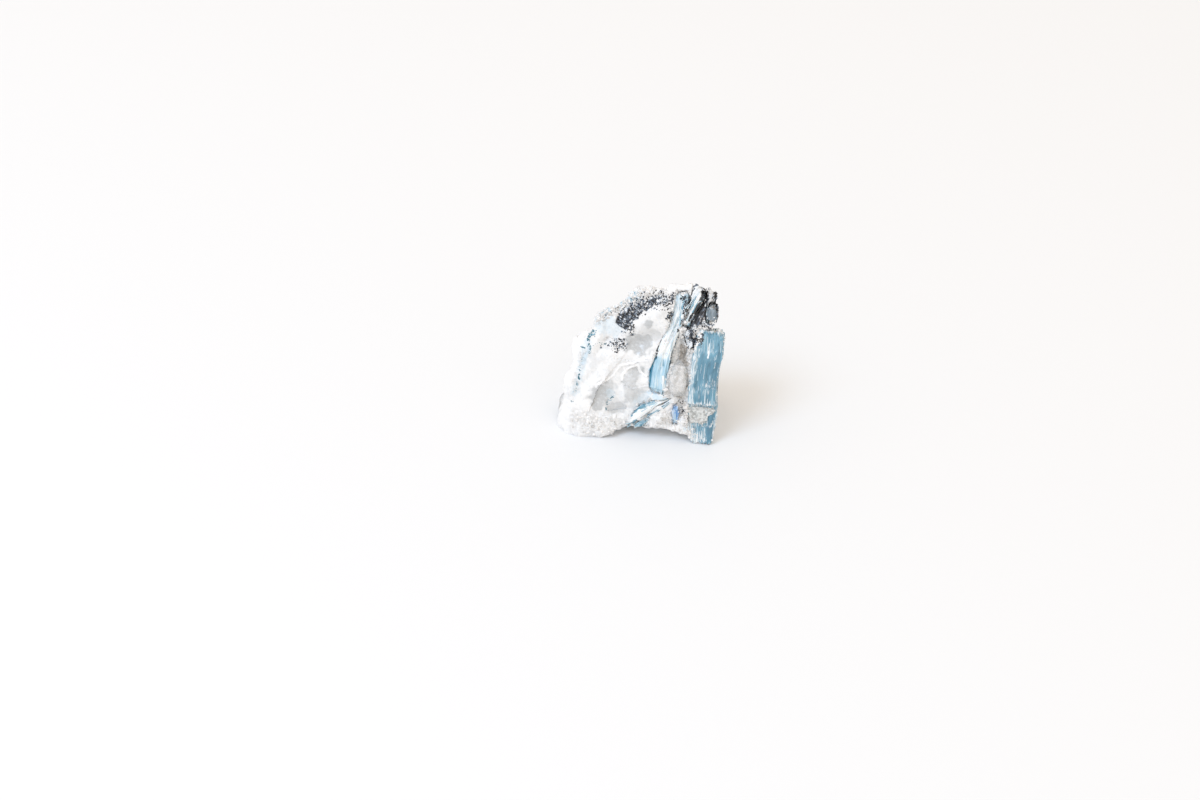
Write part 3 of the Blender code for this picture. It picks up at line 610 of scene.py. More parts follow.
def makeKyanite(name, pale, body, deep, white):
    # kyanite, cleaved along its blades: glassy to pearly, with fine lengthwise striae, frayed
    # white streaks and a deeper blue on its edges; white is the streaks' share
    look = kyaniteLook
    mat = newMaterial(name)
    onBlade = addNode(mat, "Attribute", attribute_name="bladeAt").outputs["Vector"]  # mm across, along, out
    streaks = {}
    for kind, detail in (("patch", 2.0), ("streak", 4.0), ("hair", 3.0)):
        widths = (1 / look[kind + "Width"], 1 / look[kind + "Length"], 1 / look[kind + "Width"])
        stretched = addNode(mat, "Mapping", {"Vector": onBlade, "Scale": widths}).outputs[0]
        streaks[kind] = addNode(mat, "TexNoise", {"Vector": stretched, "Scale": 1.0, "Detail": detail,
                                                  "Roughness": 0.65}).outputs[0]
    fine = addNode(mat, "Math", {0: streaks["hair"], 1: 0.5, 2: streaks["streak"]}, operation="MULTIPLY_ADD").outputs[0]
    wide = addNode(mat, "Math", {0: streaks["patch"], 1: 0.8, 2: fine}, operation="MULTIPLY_ADD").outputs[0]
    depth = addNode(mat, "Math", {0: readShare(mat, "deep"), 1: 0.62, 2: wide}, operation="MULTIPLY_ADD").outputs[0]
    colour = addNode(mat, "ValToRGB", {"Fac": addNode(mat, "MapRange", {
        "Value": depth, "From Min": 0.85, "From Max": 1.9}).outputs[0]},
        ramp=[(0.0, pale), (0.28, body), (0.85, deep)]).outputs[0]
    frosted = addNode(mat, "Math", {0: readShare(mat, "frost"), 1: 0.55, 2: streaks["hair"]},
                      operation="MULTIPLY_ADD").outputs[0]
    part = addNode(mat, "MapRange", {"Value": frosted, "From Min": 0.70 - white, "From Max": 0.90 - white}).outputs[0]
    colour = addNode(mat, "Mix", {0: part, 6: colour, 7: toLinear(look["frost"])}, data_type="RGBA").outputs[2]
    object = addNode(mat, "TexCoord").outputs["Object"]
    dots = addNode(mat, "TexVoronoi", {"Vector": object, "Scale": perMm(look["speckSize"])}).outputs["Distance"]
    specks = addNode(mat, "Math", {0: streaks["hair"], 1: 0.9, 2: dots}, operation="MULTIPLY_ADD").outputs[0]
    colour = blendPatch(mat, colour, readShare(mat, "crust"), streaks["hair"], look["crust"], 0.9, 1.15)[1]
    colour = blendSpecks(mat, colour, readShare(mat, "rust"), specks, look["rust"])
    colour = blendSpecks(mat, colour, readShare(mat, "mica"), specks, look["mica"])
    rough = addNode(mat, "MapRange", {"Value": streaks["hair"], "From Min": 0.3, "From Max": 0.8,
                                      "To Min": 0.2, "To Max": 0.55}).outputs[0]
    relief = addNode(mat, "Bump", {"Height": fine, "Strength": 0.5, "Distance": 0.1 * mm}).outputs[0]
    return finishShader(mat, {"Base Color": colour, "Roughness": rough, "Normal": relief, "IOR": 1.72,
                              "Coat Weight": 0.2, "Coat Roughness": 0.15,
                              "Subsurface Weight": 0.15, "Subsurface Radius": (0.6, 0.85, 1.0),
                              "Subsurface Scale": 0.5 * mm})


splinterLook = {"white": "#eef4f7", "pale": "#b5d3e2", "body": "#6fa5bf", "dark": "#2c6a84"}


def makeLooseKyanite():
    # splinters and fibres of kyanite: the thinner, the paler
    look = splinterLook
    mat = newMaterial("kyaniteSplintersCleaved")
    colour = addNode(mat, "ValToRGB", {"Fac": readShare(mat, "tone")},
                     ramp=[(0.0, look["white"]), (0.35, look["pale"]), (0.7, look["body"]), (1.0, look["dark"])]).outputs[0]
    return finishShader(mat, {"Base Color": colour, "Roughness": 0.28, "IOR": 1.72,
                              "Subsurface Weight": 0.2, "Subsurface Radius": (0.6, 0.85, 1.0),
                              "Subsurface Scale": 0.3 * mm})


slantTurn = math.radians(56.1)  # the way the slanted blade runs
slantWay = front["right"] * math.sin(slantTurn) + front["rise"] * math.cos(slantTurn)
leafTurn = math.radians(23.5)  # the way the wedge's leaves run on the display face
leafWay = front["right"] * math.sin(leafTurn) + front["rise"] * math.cos(leafTurn)

milkyQuartz = makeMilkyQuartz()
quartzGrainFinish = makeQuartzGrains()
clearQuartz = makeClearQuartz()
greyCrust = makeGreyCrust()
wedgeMica = makeBlackMica("biotiteMicaLeaves", 0.06, leafWay)
saltedMica = makeBlackMica("biotiteMicaWithQuartz", 0.08)
flakeMica = makeLooseMica()
# painted shade: these colours are darker partly for the shade the broad blade stands in, partly for its own steel blue
steelShadedKyanite = makeKyanite("steelBlueKyaniteShadedCleaved", "#a6c9d8", "#69a0b9", "#346a84", 0.03)
paleKyanite = makeKyanite("paleBlueKyaniteCleaved", "#e2eff7", "#aed4e8", "#1d7b9c", 0.06)
brightKyanite = makeKyanite("brightBlueKyaniteCleaved", "#e6f1f6", "#b0d4e4", "#1a7592", 0.07)
cornflowerKyanite = makeKyanite("cornflowerKyaniteCleaved", "#e6eff8", "#bad5f0", "#77a8dc", 0.08)
greyKyanite = makeKyanite("greyBlueKyaniteCleaved", "#a1aeb8", "#728491", "#37454f", 0.03)
splinterKyanite = makeLooseKyanite()
print("materials made")


# The quartz lump

lumpMesh = {
    "grow": 0.26,  # closes the clearance around every crystal
    "voxel": 0.135,
    "triangles": 186000,
    "breaks": (3.6, 0.52),  # size and relief of the broken faces
    "crystals": (1.5, 0.26),
    "sugar": (0.72, 0.17),
}
sugaryPatches = (  # (points, half width, strength)
    (((-22.5, 2.2), (-15.5, 1.6)), 2.6, 1.0),
    (((-9.5, 3.4), (-5.0, 3.0)), 3.2, 0.9),
    (((-5.2, 19.0), (-5.6, 13.0), (-5.0, 5.0)), 1.9, 1.0),
    (((-6.6, 12.6), (-7.4, 9.4)), 1.6, 0.9),
    (((-3.4, 20.8), (0.0, 20.8)), 1.2, 1.0),
    (((-20.0, 20.0), (-14.0, 25.4)), 1.2, 0.8),
    (((-22.0, 16.5), (-24.0, 6.0)), 0.9, 0.7),
    (((-18.4, 16.0), (-15.6, 16.4)), 1.2, 0.7),
    (((-3.4, 1.8), (-1.0, 0.6)), 1.6, 0.8),
)
# the left of each line stands higher: (points, height, fade)
ledges = (
    (((-20.5, 5.4), (-19.9, 7.6), (-18.6, 9.8)), 0.38, 2.2),
    (((-18.6, 9.8), (-15.7, 14.0)), 0.12, 2.6),
    (((-8.8, 24.2), (-12.4, 22.0), (-13.6, 20.6), (-15.4, 18.6)), 0.45, 3.0),
    (((-11.2, 14.1), (-13.8, 13.3), (-16.4, 13.7)), 0.35, 1.8),
    (((-17.0, 4.4), (-14.4, 4.9), (-11.8, 5.4)), -0.40, 2.2),
    (((-11.9, 9.3), (-13.9, 8.7), (-15.6, 9.2)), 0.25, 1.4),
)
def fromLine(points, across, up):
    # distance to a line of points, and 1 on its left or -1 on its right
    best, hand = 1e9, 1
    for start, end in zip(points, points[1:]):
        wayX, wayY = end[0] - start[0], end[1] - start[1]
        offX, offY = across - start[0], up - start[1]
        share = clamp((offX * wayX + offY * wayY) / (wayX * wayX + wayY * wayY))
        awayX, awayY = offX - wayX * share, offY - wayY * share
        away = math.hypot(awayX, awayY)
        if away < best:
            best, hand = away, 1 if wayX * awayY - wayY * awayX > 0 else -1
    return best, hand


def lumpRelief(place, normal):
    # the ledges and broken faces, and apart from them the fine relief
    across, up, out = readOn(front, place)
    rise = 0.0
    if out > -2.4 and normal.dot(front["outward"]) > 0.25:
        sugar = max(0.0, *(strokeShare(points, half, across, up) * strength
                           for points, half, strength in sugaryPatches))
        calm = 0.4
        for points, height, fade in ledges:
            away, hand = fromLine(points, across, up)
            if away < fade and hand > 0:
                rise += height * (1 - away / fade)
        rise += 0.12 * markShare("vein", place)
    else:
        sugar, calm = clamp(0.2 + 2.4 * noise.noise(place / 4.2)), 1.0
    size, relief = lumpMesh["breaks"]
    rise -= faceted(place, size, relief) * calm * (1 - 0.5 * sugar)  # chips: hollow faces between ridges
    size, relief = lumpMesh["crystals"]
    fine = -faceted(place, size, relief) * (1 - sugar) * calm
    size, relief = lumpMesh["sugar"]
    fine += faceted(place + Vector((5, 5, 5)), size, relief) * (0.1 + 0.9 * sugar)
    return rise, fine, sugar


def buildLump():
    piece = evenMesh(newObject("milkyQuartzLump", solidCopy("quartz_matrix", lumpMesh["grow"])), lumpMesh["voxel"])
    reshape(piece, lambda place, normal: place + normal * sum(lumpRelief(place, normal)[:2]))
    thinMesh(piece, lumpMesh["triangles"])
    pitShades = []
    roughness = []
    for vert in piece.data.vertices:
        _, fine, sugar = lumpRelief(vert.co, vert.normal)
        onFace = clamp(readOn(front, vert.co)[2] + 3.4) * clamp(3 * vert.normal.dot(front["outward"]))
        # painted shade: the hollows of the fine relief, mostly in the sugary parts, are marked for a greyer colour
        pitShades.append(clamp(-2.6 * fine) * sugar * (1 - 0.6 * onFace))
        roughness.append(1 - 0.62 * onFace * (1 - sugar))
    piece.data.attributes.new("pitShade", "FLOAT", "POINT").data.foreach_set("value", pitShades)
    piece.data.attributes.new("hackly", "FLOAT", "POINT").data.foreach_set("value", roughness)
    paintMarks(piece, "grey", "vein", "earth", "mica", "teal", "blueTint", "rust")
    return piece


lump = buildLump()
print("lump shaped:", len(lump.data.vertices), "vertices")


# Mica

micaPieces = {
    # leaves lie along heading, degrees clockwise from up on the side; leaf is their spacing and relief
    "micaBand": {"node": "mica_band", "side": front, "heading": 58, "leaf": (0.40, 0.22), "finish": saltedMica},
    "micaWedge": {"node": "mica_wedge", "side": front, "heading": 23.5, "leaf": (0.50, 0.42), "finish": wedgeMica},
    "micaSeamBack": {"node": "mica_seam_back", "side": back, "heading": -30, "leaf": (0.50, 0.30), "finish": wedgeMica},
}


saltStrokes = (  # where there is more quartz between the leaves, and where there is less
    (((-2.4, 27.0), (-3.1, 24.9), (-4.0, 22.9), (-4.8, 21.7), (-6.0, 20.5), (-6.5, 18.9)), 0.6, -0.7),
    (((-2.0, 25.4), (-2.6, 23.4), (-3.9, 21.4)), 0.8, -0.2),
    (((-1.1, 26.8), (-0.2, 25.7), (0.1, 24.0), (0.2, 22.3), (0.1, 20.8)), 0.42, -0.7),
    (((-4.4, 26.6), (-2.9, 27.4), (-1.6, 27.0)), 0.6, 0.5),
    (((-3.7, 26.8), (-4.7, 24.8), (-5.4, 22.8)), 0.6, 0.9),
    (((-1.6, 26.6), (-1.3, 25.4), (-1.8, 24.3)), 0.5, 0.85),
    (((-2.9, 21.2), (-0.4, 21.0)), 0.7, 0.4),
    (((-5.4, 19.4), (-4.7, 17.6), (-4.5, 16.0)), 0.6, 0.5),
    (((-4.6, 20.4), (-2.6, 20.4), (-3.3, 17.0)), 1.4, 0.16),
    (((-3.8, 19.6), (-3.7, 18.1), (-3.8, 16.9)), 0.26, -0.6),
    (((-2.7, 19.4), (-2.4, 18.3), (-2.7, 17.2)), 0.26, -0.6),
    (((-8.0, 25.2), (-11.1, 25.1), (-13.0, 24.4), (-14.9, 23.3), (-16.4, 21.9)), 0.6, 0.5),
    (((-9.9, 24.5), (-8.0, 24.4)), 1.1, 0.45),
    (((-10.6, 22.9), (-14.2, 20.2)), 0.6, 0.3),
)


def buildMica(name, settings):
    side, (spacing, relief) = settings["side"], settings["leaf"]
    turn = math.radians(settings["heading"])
    piece = evenMesh(newObject(name, solidCopy(settings["node"], 0.22)), 0.13)

    def leafed(place, normal):
        across, up, out = readOn(side, place)
        acrossLeaf = across * math.cos(turn) - up * math.sin(turn)
        alongLeaf = across * math.sin(turn) + up * math.cos(turn)
        row = math.floor(acrossLeaf / spacing + 0.25 * noise.noise(place / 1.6))
        step = chance(row, math.floor(alongLeaf / (4 * spacing) + 3 * chance(row, 5)))
        if name == "micaWedge" and out > -1.6:  # its cap falls off to the left
            place = place - side["rise"] * 0.6 * strokeShare(((-4.9, 26.2), (-3.0, 27.4)), 1.1,
                                                             across - 0.15 * out, up - 0.26 * out)
        return place + normal * (relief * (step - 0.85) + faceted(place, 0.6, 0.10))

    reshape(piece, leafed)

    def saltShare(place):
        across, up, out = readOn(front, place)
        share = 0.2 * noise.noise(place / 1.3) + 0.12 * noise.noise(place / 0.35)
        if out > -2.4:
            for points, half, change in saltStrokes:
                share += change * strokeShare(points, half, across - 0.15 * out, up - 0.26 * out)
        return share

    paintShare(piece, "salt", saltShare)
    return piece


mica = {name: buildMica(name, settings) for name, settings in micaPieces.items()}
print("mica shaped")


# Kyanite blades

bladeMesh = {
    "strip": 0.13,  # width of the lengthwise facets
    "reach": 0.55,  # their length
    "terrace": (0.55, 0.26),  # width and drop of the broad steps
    "striaDrop": 0.06,
    "sideLedge": 0.22,
    "ragged": 0.9,  # how far the broken ends are frayed
}
kyaniteBlades = {
    # foot is where the blade starts on its side, heading is degrees clockwise from up; cracks are
    # (along, lean) of the breaks across it
    "kyaniteBladeBroad": {"node": "kyanite_blade_broad", "side": front, "foot": (-1.6, 0.0), "heading": 0,
                          "grow": 0.14, "cracks": ((3.3, 0.1), (10.7, -0.16), (16.4, 0.2)), "finish": steelShadedKyanite},
    "kyaniteBladeCentre": {"node": "kyanite_blade_centre", "side": front, "foot": (-9.6, 8.2), "heading": 0,
                           "cracks": ((6.9, 0.5), (12.0, 0.3)), "finish": paleKyanite},
    "kyaniteLathTop": {"node": "kyanite_lath_top", "side": front, "foot": (-5.6, 20.0), "heading": 23.5,
                       "cracks": ((4.1, 0.4),), "finish": paleKyanite},
    "kyaniteStubTop": {"node": "kyanite_stub_top", "side": front, "foot": (-1.1, 21.3), "heading": 2,
                       "cracks": (), "finish": greyKyanite},
    "kyaniteBladeSlanted": {"node": "kyanite_blade_slanted", "side": front, "foot": (-14.6, 2.65), "heading": 56.1,
                            "cracks": ((5.2, 0.3),), "finish": brightKyanite},
    "kyaniteSplinterLow": {"node": "kyanite_splinter_low", "side": front, "foot": (-13.1, 2.0), "heading": 56.1,
                           "cracks": (), "finish": brightKyanite},
    "kyaniteBladeSmall": {"node": "kyanite_blade_small", "side": front, "foot": (-6.1, 3.2), "heading": 0,
                          "grow": 0.2, "cracks": (), "finish": cornflowerKyanite},
    "kyaniteBladeBackTall": {"node": "kyanite_blade_back_tall", "side": back, "foot": (-15.4, 1.4), "heading": 4,
                             "cracks": ((4.4, 0.2), (9.7, -0.2)), "finish": steelShadedKyanite},
    "kyaniteBladeBackCross": {"node": "kyanite_blade_back_cross", "side": back, "foot": (-6.4, 9.6), "heading": -38,
                              "cracks": ((3.0, 0.2),), "finish": brightKyanite},
    "kyaniteBladeBackLow": {"node": "kyanite_blade_back_low", "side": back, "foot": (-6.0, 1.0), "heading": 28,
                            "cracks": ((3.9, -0.3),), "finish": steelShadedKyanite},
    "kyaniteBladeLeft": {"node": "kyanite_blade_left", "side": left, "foot": (-1.2, 1.6), "heading": -8,
                         "cracks": ((4.6, 0.1),), "finish": paleKyanite},
}


def sliceAlong(bm, origin, way, spacing):
    # cuts that run right through a solid, square to way
    reaches = [(vert.co - origin).dot(way) for vert in bm.verts]
    reach = min(reaches) + spacing
    while reach < max(reaches) - spacing / 2:
        bmesh.ops.bisect_plane(bm, geom=bm.verts[:] + bm.edges[:] + bm.faces[:], dist=1e-4,
                               plane_co=origin + way * reach, plane_no=way)
        reach += spacing


def bladeWays(settings):
    side, turn = settings["side"], math.radians(settings["heading"])
    across = side["right"] * math.cos(turn) - side["rise"] * math.sin(turn)
    along = side["right"] * math.sin(turn) + side["rise"] * math.cos(turn)
    return across, along, side["outward"]


def buildBlade(name, settings, seed):
    acrossWay, alongWay, outWay = bladeWays(settings)
    foot = placeOn(settings["side"], *settings["foot"])
    bm = solidCopy(settings["node"], settings.get("grow", 0.05))
    sliceAlong(bm, foot, acrossWay, bladeMesh["strip"])
    sliceAlong(bm, foot, alongWay, bladeMesh["reach"])
    sliceAlong(bm, foot, outWay, 0.3)
    bmesh.ops.triangulate(bm, faces=[face for face in bm.faces if len(face.verts) > 4])
    piece = newObject(name, bm)

    def readBlade(place):
        offset = place - foot
        return offset.dot(acrossWay), offset.dot(alongWay), offset.dot(outWay)

    # the blade's sides at each millimetre along it, so that what follows keeps to its bends
    reaches = [readBlade(vert.co) for vert in piece.data.vertices]
    shortest, longest = min(along for _, along, _ in reaches), max(along for _, along, _ in reaches)
    sides = {}
    for across, along, _ in reaches:
        low, high = sides.get(round(along), (1e9, -1e9))
        sides[round(along)] = (min(low, across), max(high, across))

    def sidesAt(along):
        start, share = math.floor(along), along - math.floor(along)
        first, second = sides.get(start) or sides[start + 1], sides.get(start + 1) or sides[start]
        return [one * (1 - share) + other * share for one, other in zip(first, second)]

    wide, drop = bladeMesh["terrace"]

    def striated(place, normal):
        across, along, out = readBlade(place)
        low, high = sidesAt(along)
        inner = across - (low + high) / 2
        top, end, flank = (normal.dot(way) for way in (outWay, alongWay, acrossWay))
        row = math.floor(inner / wide + 0.5 * noise.noise(Vector((inner, along / 6, seed))))
        step = chance(row, math.floor(along / 4.5 + 4 * chance(row, seed)), seed)
        stria = chance(math.floor(inner / 0.19), math.floor(along / 3.3), 2)
        lower = drop * step * step + bladeMesh["striaDrop"] * stria
        lower += 0.10 * noise.noise(Vector((inner / 1.3, along / 3.2, seed)))
        for middle, lean in settings["cracks"]:
            away = along - middle - lean * inner - 0.25 * noise.noise(Vector((inner * 2.5, middle, seed)))
            lower += 0.2 * math.exp(-(away / 0.12) ** 2) + 0.08 * clamp(away / 0.2) * clamp(1.5 - away)
        place = place - outWay * max(0.0, top) * lower
        ledge = bladeMesh["sideLedge"] * chance(math.floor(out / 0.34), math.floor(along / 2.1 + seed), 3)
        ledge += 0.16 * noise.noise(Vector((along / 0.8, out, seed + 3)))
        place -= acrossWay * flank * max(0.0, ledge)
        frayed = bladeMesh["ragged"] * chance(math.floor(inner / 0.32), math.floor(out / 0.6), 4 + seed)
        if abs(end) > 0.45:
            place -= alongWay * end * frayed
        return place

    reshape(piece, striated)
    paintMarks(piece, "mica", "crust", "rust")

    def deepShare(place):
        across, along, out = readBlade(place)
        low, high = sidesAt(along)
        edge = clamp(1 - min(across - low, high - across) / 0.4) if settings["side"] is not front else 0.0
        return max(markShare("deep", place), 0.45 * edge * chance(math.floor(along / 1.7), seed))

    def frostShare(place):
        across, along, out = readBlade(place)
        nearCrack = max([math.exp(-((along - middle - lean * across) / 0.18) ** 2)
                         for middle, lean in settings["cracks"]] + [0.0])
        return max(markShare("frost", place), 0.45 * nearCrack, 0.7 * math.exp(-(longest - along) / 0.6),
                   0.5 * math.exp(-(along - shortest) / 0.5))

    paintShare(piece, "deep", deepShare)
    paintShare(piece, "frost", frostShare)
    spots = piece.data.attributes.new("bladeAt", "FLOAT_VECTOR", "POINT")
    values = []
    for vert in piece.data.vertices:
        across, along, out = readBlade(vert.co)
        values += (across - sum(sidesAt(along)) / 2, along + 9 * seed, out)
    spots.data.foreach_set("vector", values)
    return piece


blades = {name: buildBlade(name, settings, seed) for seed, (name, settings) in enumerate(kyaniteBlades.items())}
print("blades shaped")


# The clear grain and the grey crust

nuggets = {
    # facets are their size and relief
    "clearQuartzGrain": {"node": "quartz_grain_clear", "grow": 0.45, "facets": (1.3, 0.24)},
    "greyQuartzCrust": {"node": "quartz_crust", "grow": -0.02, "facets": (0.5, 0.12)},
}


def treeOf(pieces):
    bm = bmesh.new()
    for piece in pieces:
        bm.from_mesh(piece.data)
    tree = BVHTree.FromBMesh(bm)
    bm.free()
    return tree


# the crust thins out into a plate on the blade, straight above and ragged below, (across, up) in mm
crustPlate = {
    "outline": ((-4.1, 6.4), (-2.4, 6.7), (-0.7, 6.6), (0.3, 6.7), (0.6, 6.4), (0.4, 5.8), (-0.2, 5.4),
                (-0.6, 5.3), (-0.6, 4.5), (-1.2, 4.1), (-1.4, 3.6), (-1.9, 3.7), (-2.5, 3.8), (-2.9, 3.8),
                (-3.2, 3.6), (-3.6, 3.8), (-3.9, 4.6), (-4.1, 5.5)),
    "above": 0.06,
    "below": 0.7,
}


def addPlate(bm, settings, onto):
    tree = treeOf([onto])
    heights = []
    for across, up in settings["outline"]:
        start = placeOn(front, across + 0.15 * 8, up + 0.26 * 8, 8)
        hit = tree.ray_cast(start, placeOn(front, across, up) - start)[0]
        heights += [readOn(front, hit)[2]] if hit is not None else []
    surface = max(heights)
    for vert in bm.verts:  # the raised crust is flush with the plate
        vert.co -= front["outward"] * max(0.0, readOn(front, vert.co)[2] - surface - settings["above"])
    out = surface - settings["below"]
    face = bm.faces.new([bm.verts.new(placeOn(front, across + 0.15 * surface, up + 0.26 * surface, out))
                         for across, up in settings["outline"]])
    raised = bmesh.ops.extrude_face_region(bm, geom=[face])["geom"]
    lift = front["outward"] * (settings["below"] + settings["above"])
    bmesh.ops.translate(bm, verts=[part for part in raised if isinstance(part, bmesh.types.BMVert)], vec=lift)
    bmesh.ops.recalc_face_normals(bm, faces=bm.faces)


def buildNugget(name, settings):
    bm = solidCopy(settings["node"], settings["grow"])
    if name == "greyQuartzCrust":
        addPlate(bm, crustPlate, blades["kyaniteBladeBroad"])
    piece = evenMesh(newObject(name, bm), 0.11)
    size, relief = settings["facets"]
    reshape(piece, lambda place, normal: place + normal * (faceted(place, size, relief)
                                                           + faceted(place, size * 0.45, relief * 0.4)))
    return piece


clearGrain, crust = [buildNugget(name, settings) for name, settings in nuggets.items()]


# Loose grains, flakes and splinters on the surface


trees = {
    "lump": treeOf([lump]),
    "mica": treeOf(list(mica.values())),
    "blades": treeOf(list(blades.values())),
    "nuggets": treeOf([clearGrain, crust]),
    "cover": treeOf([*mica.values(), *blades.values()]),
    "all": treeOf([lump, clearGrain, crust, *mica.values(), *blades.values()]),
}


def landOn(side, across, up, wanted):
    # where a line onto a side meets the stone, if that is on a wanted kind of piece; it comes in
    # from a little above and to the right, as markShare does
    start = placeOn(side, across + 0.15 * 8, up + 0.26 * 8, 8)
    way = (placeOn(side, across, up) - start).normalized()
    hits = [(tree.ray_cast(start, way, 14), kind) for kind, tree in list(trees.items())[:4]]
    hits = [(hit[3], hit[0], hit[1], kind) for hit, kind in hits if hit[0] is not None]
    if not hits:
        return None
    nearest = min(hits, key=lambda hit: hit[0])
    return (nearest[1], nearest[2]) if nearest[3] in wanted else None


def strokeSpots(rng, side, strokes, wanted, way=None):
    # strokes are (points, half width, count)
    for points, half, count in strokes:
        lengths = [math.dist(start, end) + half for start, end in zip(points, points[1:] or points)]
        for _ in range(count):
            start, end = rng.choices(list(zip(points, points[1:] or points)), lengths)[0]
            share, turn, away = rng.random(), rng.uniform(0, 2 * math.pi), half * rng.random() ** 0.6
            across = start[0] + (end[0] - start[0]) * share + away * math.cos(turn)
            up = start[1] + (end[1] - start[1]) * share + away * math.sin(turn)
            landed = landOn(side, across, up, wanted)
            if landed:
                yield (*landed, way)


def anySpots(rng, piece, count, keep, way=None):
    # spots spread over a whole piece, where keep(place, normal) says so
    polygons = piece.data.polygons
    for index in rng.choices(range(len(polygons)), [polygon.area for polygon in polygons], k=count):
        place, normal = polygons[index].center.copy(), polygons[index].normal.copy()
        if keep(place, normal):
            yield place, normal, way


def rimSpots(rng, perMillimetre):
    # spots along the outline of every blade, where it meets the stone, and past its ends
    for name, settings in kyaniteBlades.items():
        acrossWay, alongWay, outWay = bladeWays(settings)
        side, foot = settings["side"], placeOn(settings["side"], *settings["foot"])
        offsets = [vert.co - foot for vert in blades[name].data.vertices]
        stations = {}
        for offset in offsets:
            stations.setdefault(round(offset.dot(alongWay) / 0.6), []).append(offset.dot(acrossWay))
        for station, past in ((min(stations), -0.35), (max(stations), 0.35)):
            for _ in range(round(7 * perMillimetre)):
                spot = foot + alongWay * (0.6 * station + past + rng.uniform(-0.3, 0.3))
                spot += acrossWay * rng.uniform(min(stations[station]) - 0.2, max(stations[station]) + 0.2)
                across, up, _ = readOn(side, spot)
                landed = landOn(side, across, up, ("lump",))
                if landed and settings["side"] is not front:
                    yield (*landed, None)
        for station, reaches in sorted(stations.items()):
            for edge, hand in ((min(reaches), -1), (max(reaches), 1)):
                for _ in range(round(0.6 * perMillimetre + rng.random() - 0.5)):
                    spot = foot + alongWay * (0.6 * station + rng.uniform(-0.3, 0.3))
                    spot += acrossWay * (edge + hand * rng.uniform(-0.08, 0.4))
                    across, up, _ = readOn(side, spot)
                    landed = landOn(side, across, up, ("lump", "blades"))
                    if landed and markShare("deep", landed[0]) < 1.1:
                        yield (*landed, None)


def turnTo(normal, spin):
    # a rotation that takes +Z to the normal, after a spin about it
    return (normal.to_track_quat("Z", "Y").to_matrix() @ Matrix.Rotation(spin, 3, "Z")).to_4x4()


def addGrain(bm, rng, spot, normal, size, way):
    # a broken grain: a block whose corners are knocked about
    frameOf = Matrix.Translation(spot - normal * size * 0.12) @ turnTo(normal, rng.uniform(0, 6.3))
    frameOf = frameOf @ Euler([rng.uniform(0, 6.3) for _ in range(3)]).to_matrix().to_4x4()
    made = bmesh.ops.create_icosphere(bm, subdivisions=1, radius=size * 0.5)["verts"]
    squash = Matrix.Diagonal((rng.uniform(0.6, 1.35), rng.uniform(0.6, 1.0), rng.uniform(0.6, 1.0), 1))
    for vert in made:
        vert.co *= rng.uniform(0.6, 1.25)
    bmesh.ops.transform(bm, matrix=frameOf @ squash, verts=made)
    return made


def addFlake(bm, rng, spot, normal, size, way):
    # a mica flake: a thin six-sided plate, tipped a little off the surface
    tip = Matrix.Rotation(rng.gauss(0, 0.4), 4, "X") @ Matrix.Rotation(rng.gauss(0, 0.4), 4, "Y")
    frameOf = Matrix.Translation(spot + normal * size * 0.04) @ turnTo(normal, rng.uniform(0, 6.3)) @ tip
    made = bmesh.ops.create_cone(bm, cap_ends=True, segments=6, radius1=size * 0.5, radius2=size * 0.46,
                                 depth=size * 0.16)["verts"]
    stretch = Matrix.Diagonal((rng.uniform(0.7, 1.3), rng.uniform(0.5, 0.9), 1, 1))
    bmesh.ops.transform(bm, matrix=frameOf @ stretch, verts=made)
    return made


def addSplinter(bm, rng, spot, normal, size, way):
    # a kyanite splinter or a long mica leaf: a flat bar with slanted ends, lying along way or at random
    along = way + Vector([rng.gauss(0, 0.05) for _ in range(3)]) if way else Vector([rng.gauss(0, 1) for _ in range(3)])
    along = (along - normal * along.dot(normal)).normalized()
    acrossWay = normal.cross(along).normalized()
    axes = Matrix((acrossWay, along, along.cross(acrossWay))).transposed().to_4x4()
    axes = axes @ Matrix.Rotation(rng.gauss(0, 0.5), 4, "Y")
    made = bmesh.ops.create_cube(bm, size=1)["verts"]
    for vert in made:
        vert.co.x += 0.35 * vert.co.y
        vert.co.x *= 1 - 0.6 * (vert.co.y > 0)
        vert.co.z *= 1 - 0.5 * (vert.co.y > 0)
    width = rng.uniform(0.10, 0.2) * size ** 0.5
    shape = Matrix.Diagonal((width, size * rng.uniform(0.8, 1.2), width * rng.uniform(0.35, 0.7), 1))
    middle = spot - normal * width * 0.05 - along * (0.4 * size if way else 0)
    bmesh.ops.transform(bm, matrix=Matrix.Translation(middle) @ axes @ shape, verts=made)
    onCover = way and trees["cover"].find_nearest(spot)[3] < 0.05
    for vert in made:  # one that would stand off the stone is left out
        nearest, facing, _, _ = trees["cover" if onCover else "all"].find_nearest(vert.co)
        if (vert.co - nearest).dot(facing) > 0.15 or (vert.co - nearest).length > 0.5:
            bmesh.ops.delete(bm, geom=made, context="VERTS")
            return []
    return made


def scatter(name, seed, findSpots, addOne, sizes, tones=(0.0, 1.0)):
    # one mesh of many small pieces, each with its own tone
    rng = random.Random(seed)
    bm = bmesh.new()
    tone = bm.verts.layers.float.new("tone")
    for spot, normal, way in findSpots(rng):
        shade = rng.uniform(*tones)
        for vert in addOne(bm, rng, spot, normal, rng.uniform(*sizes), way):
            vert[tone] = shade
    bmesh.ops.recalc_face_normals(bm, faces=bm.faces)
    return newObject(name, bm)


def hiddenSide(place, normal):
    return place.z > 0.7 and normal.z > -0.6 and normal.dot(front["outward"]) < 0.3


def marked(kind, start):
    return lambda place, normal: normal.z > -0.6 and rngGate.random() < markShare(kind, place) - start


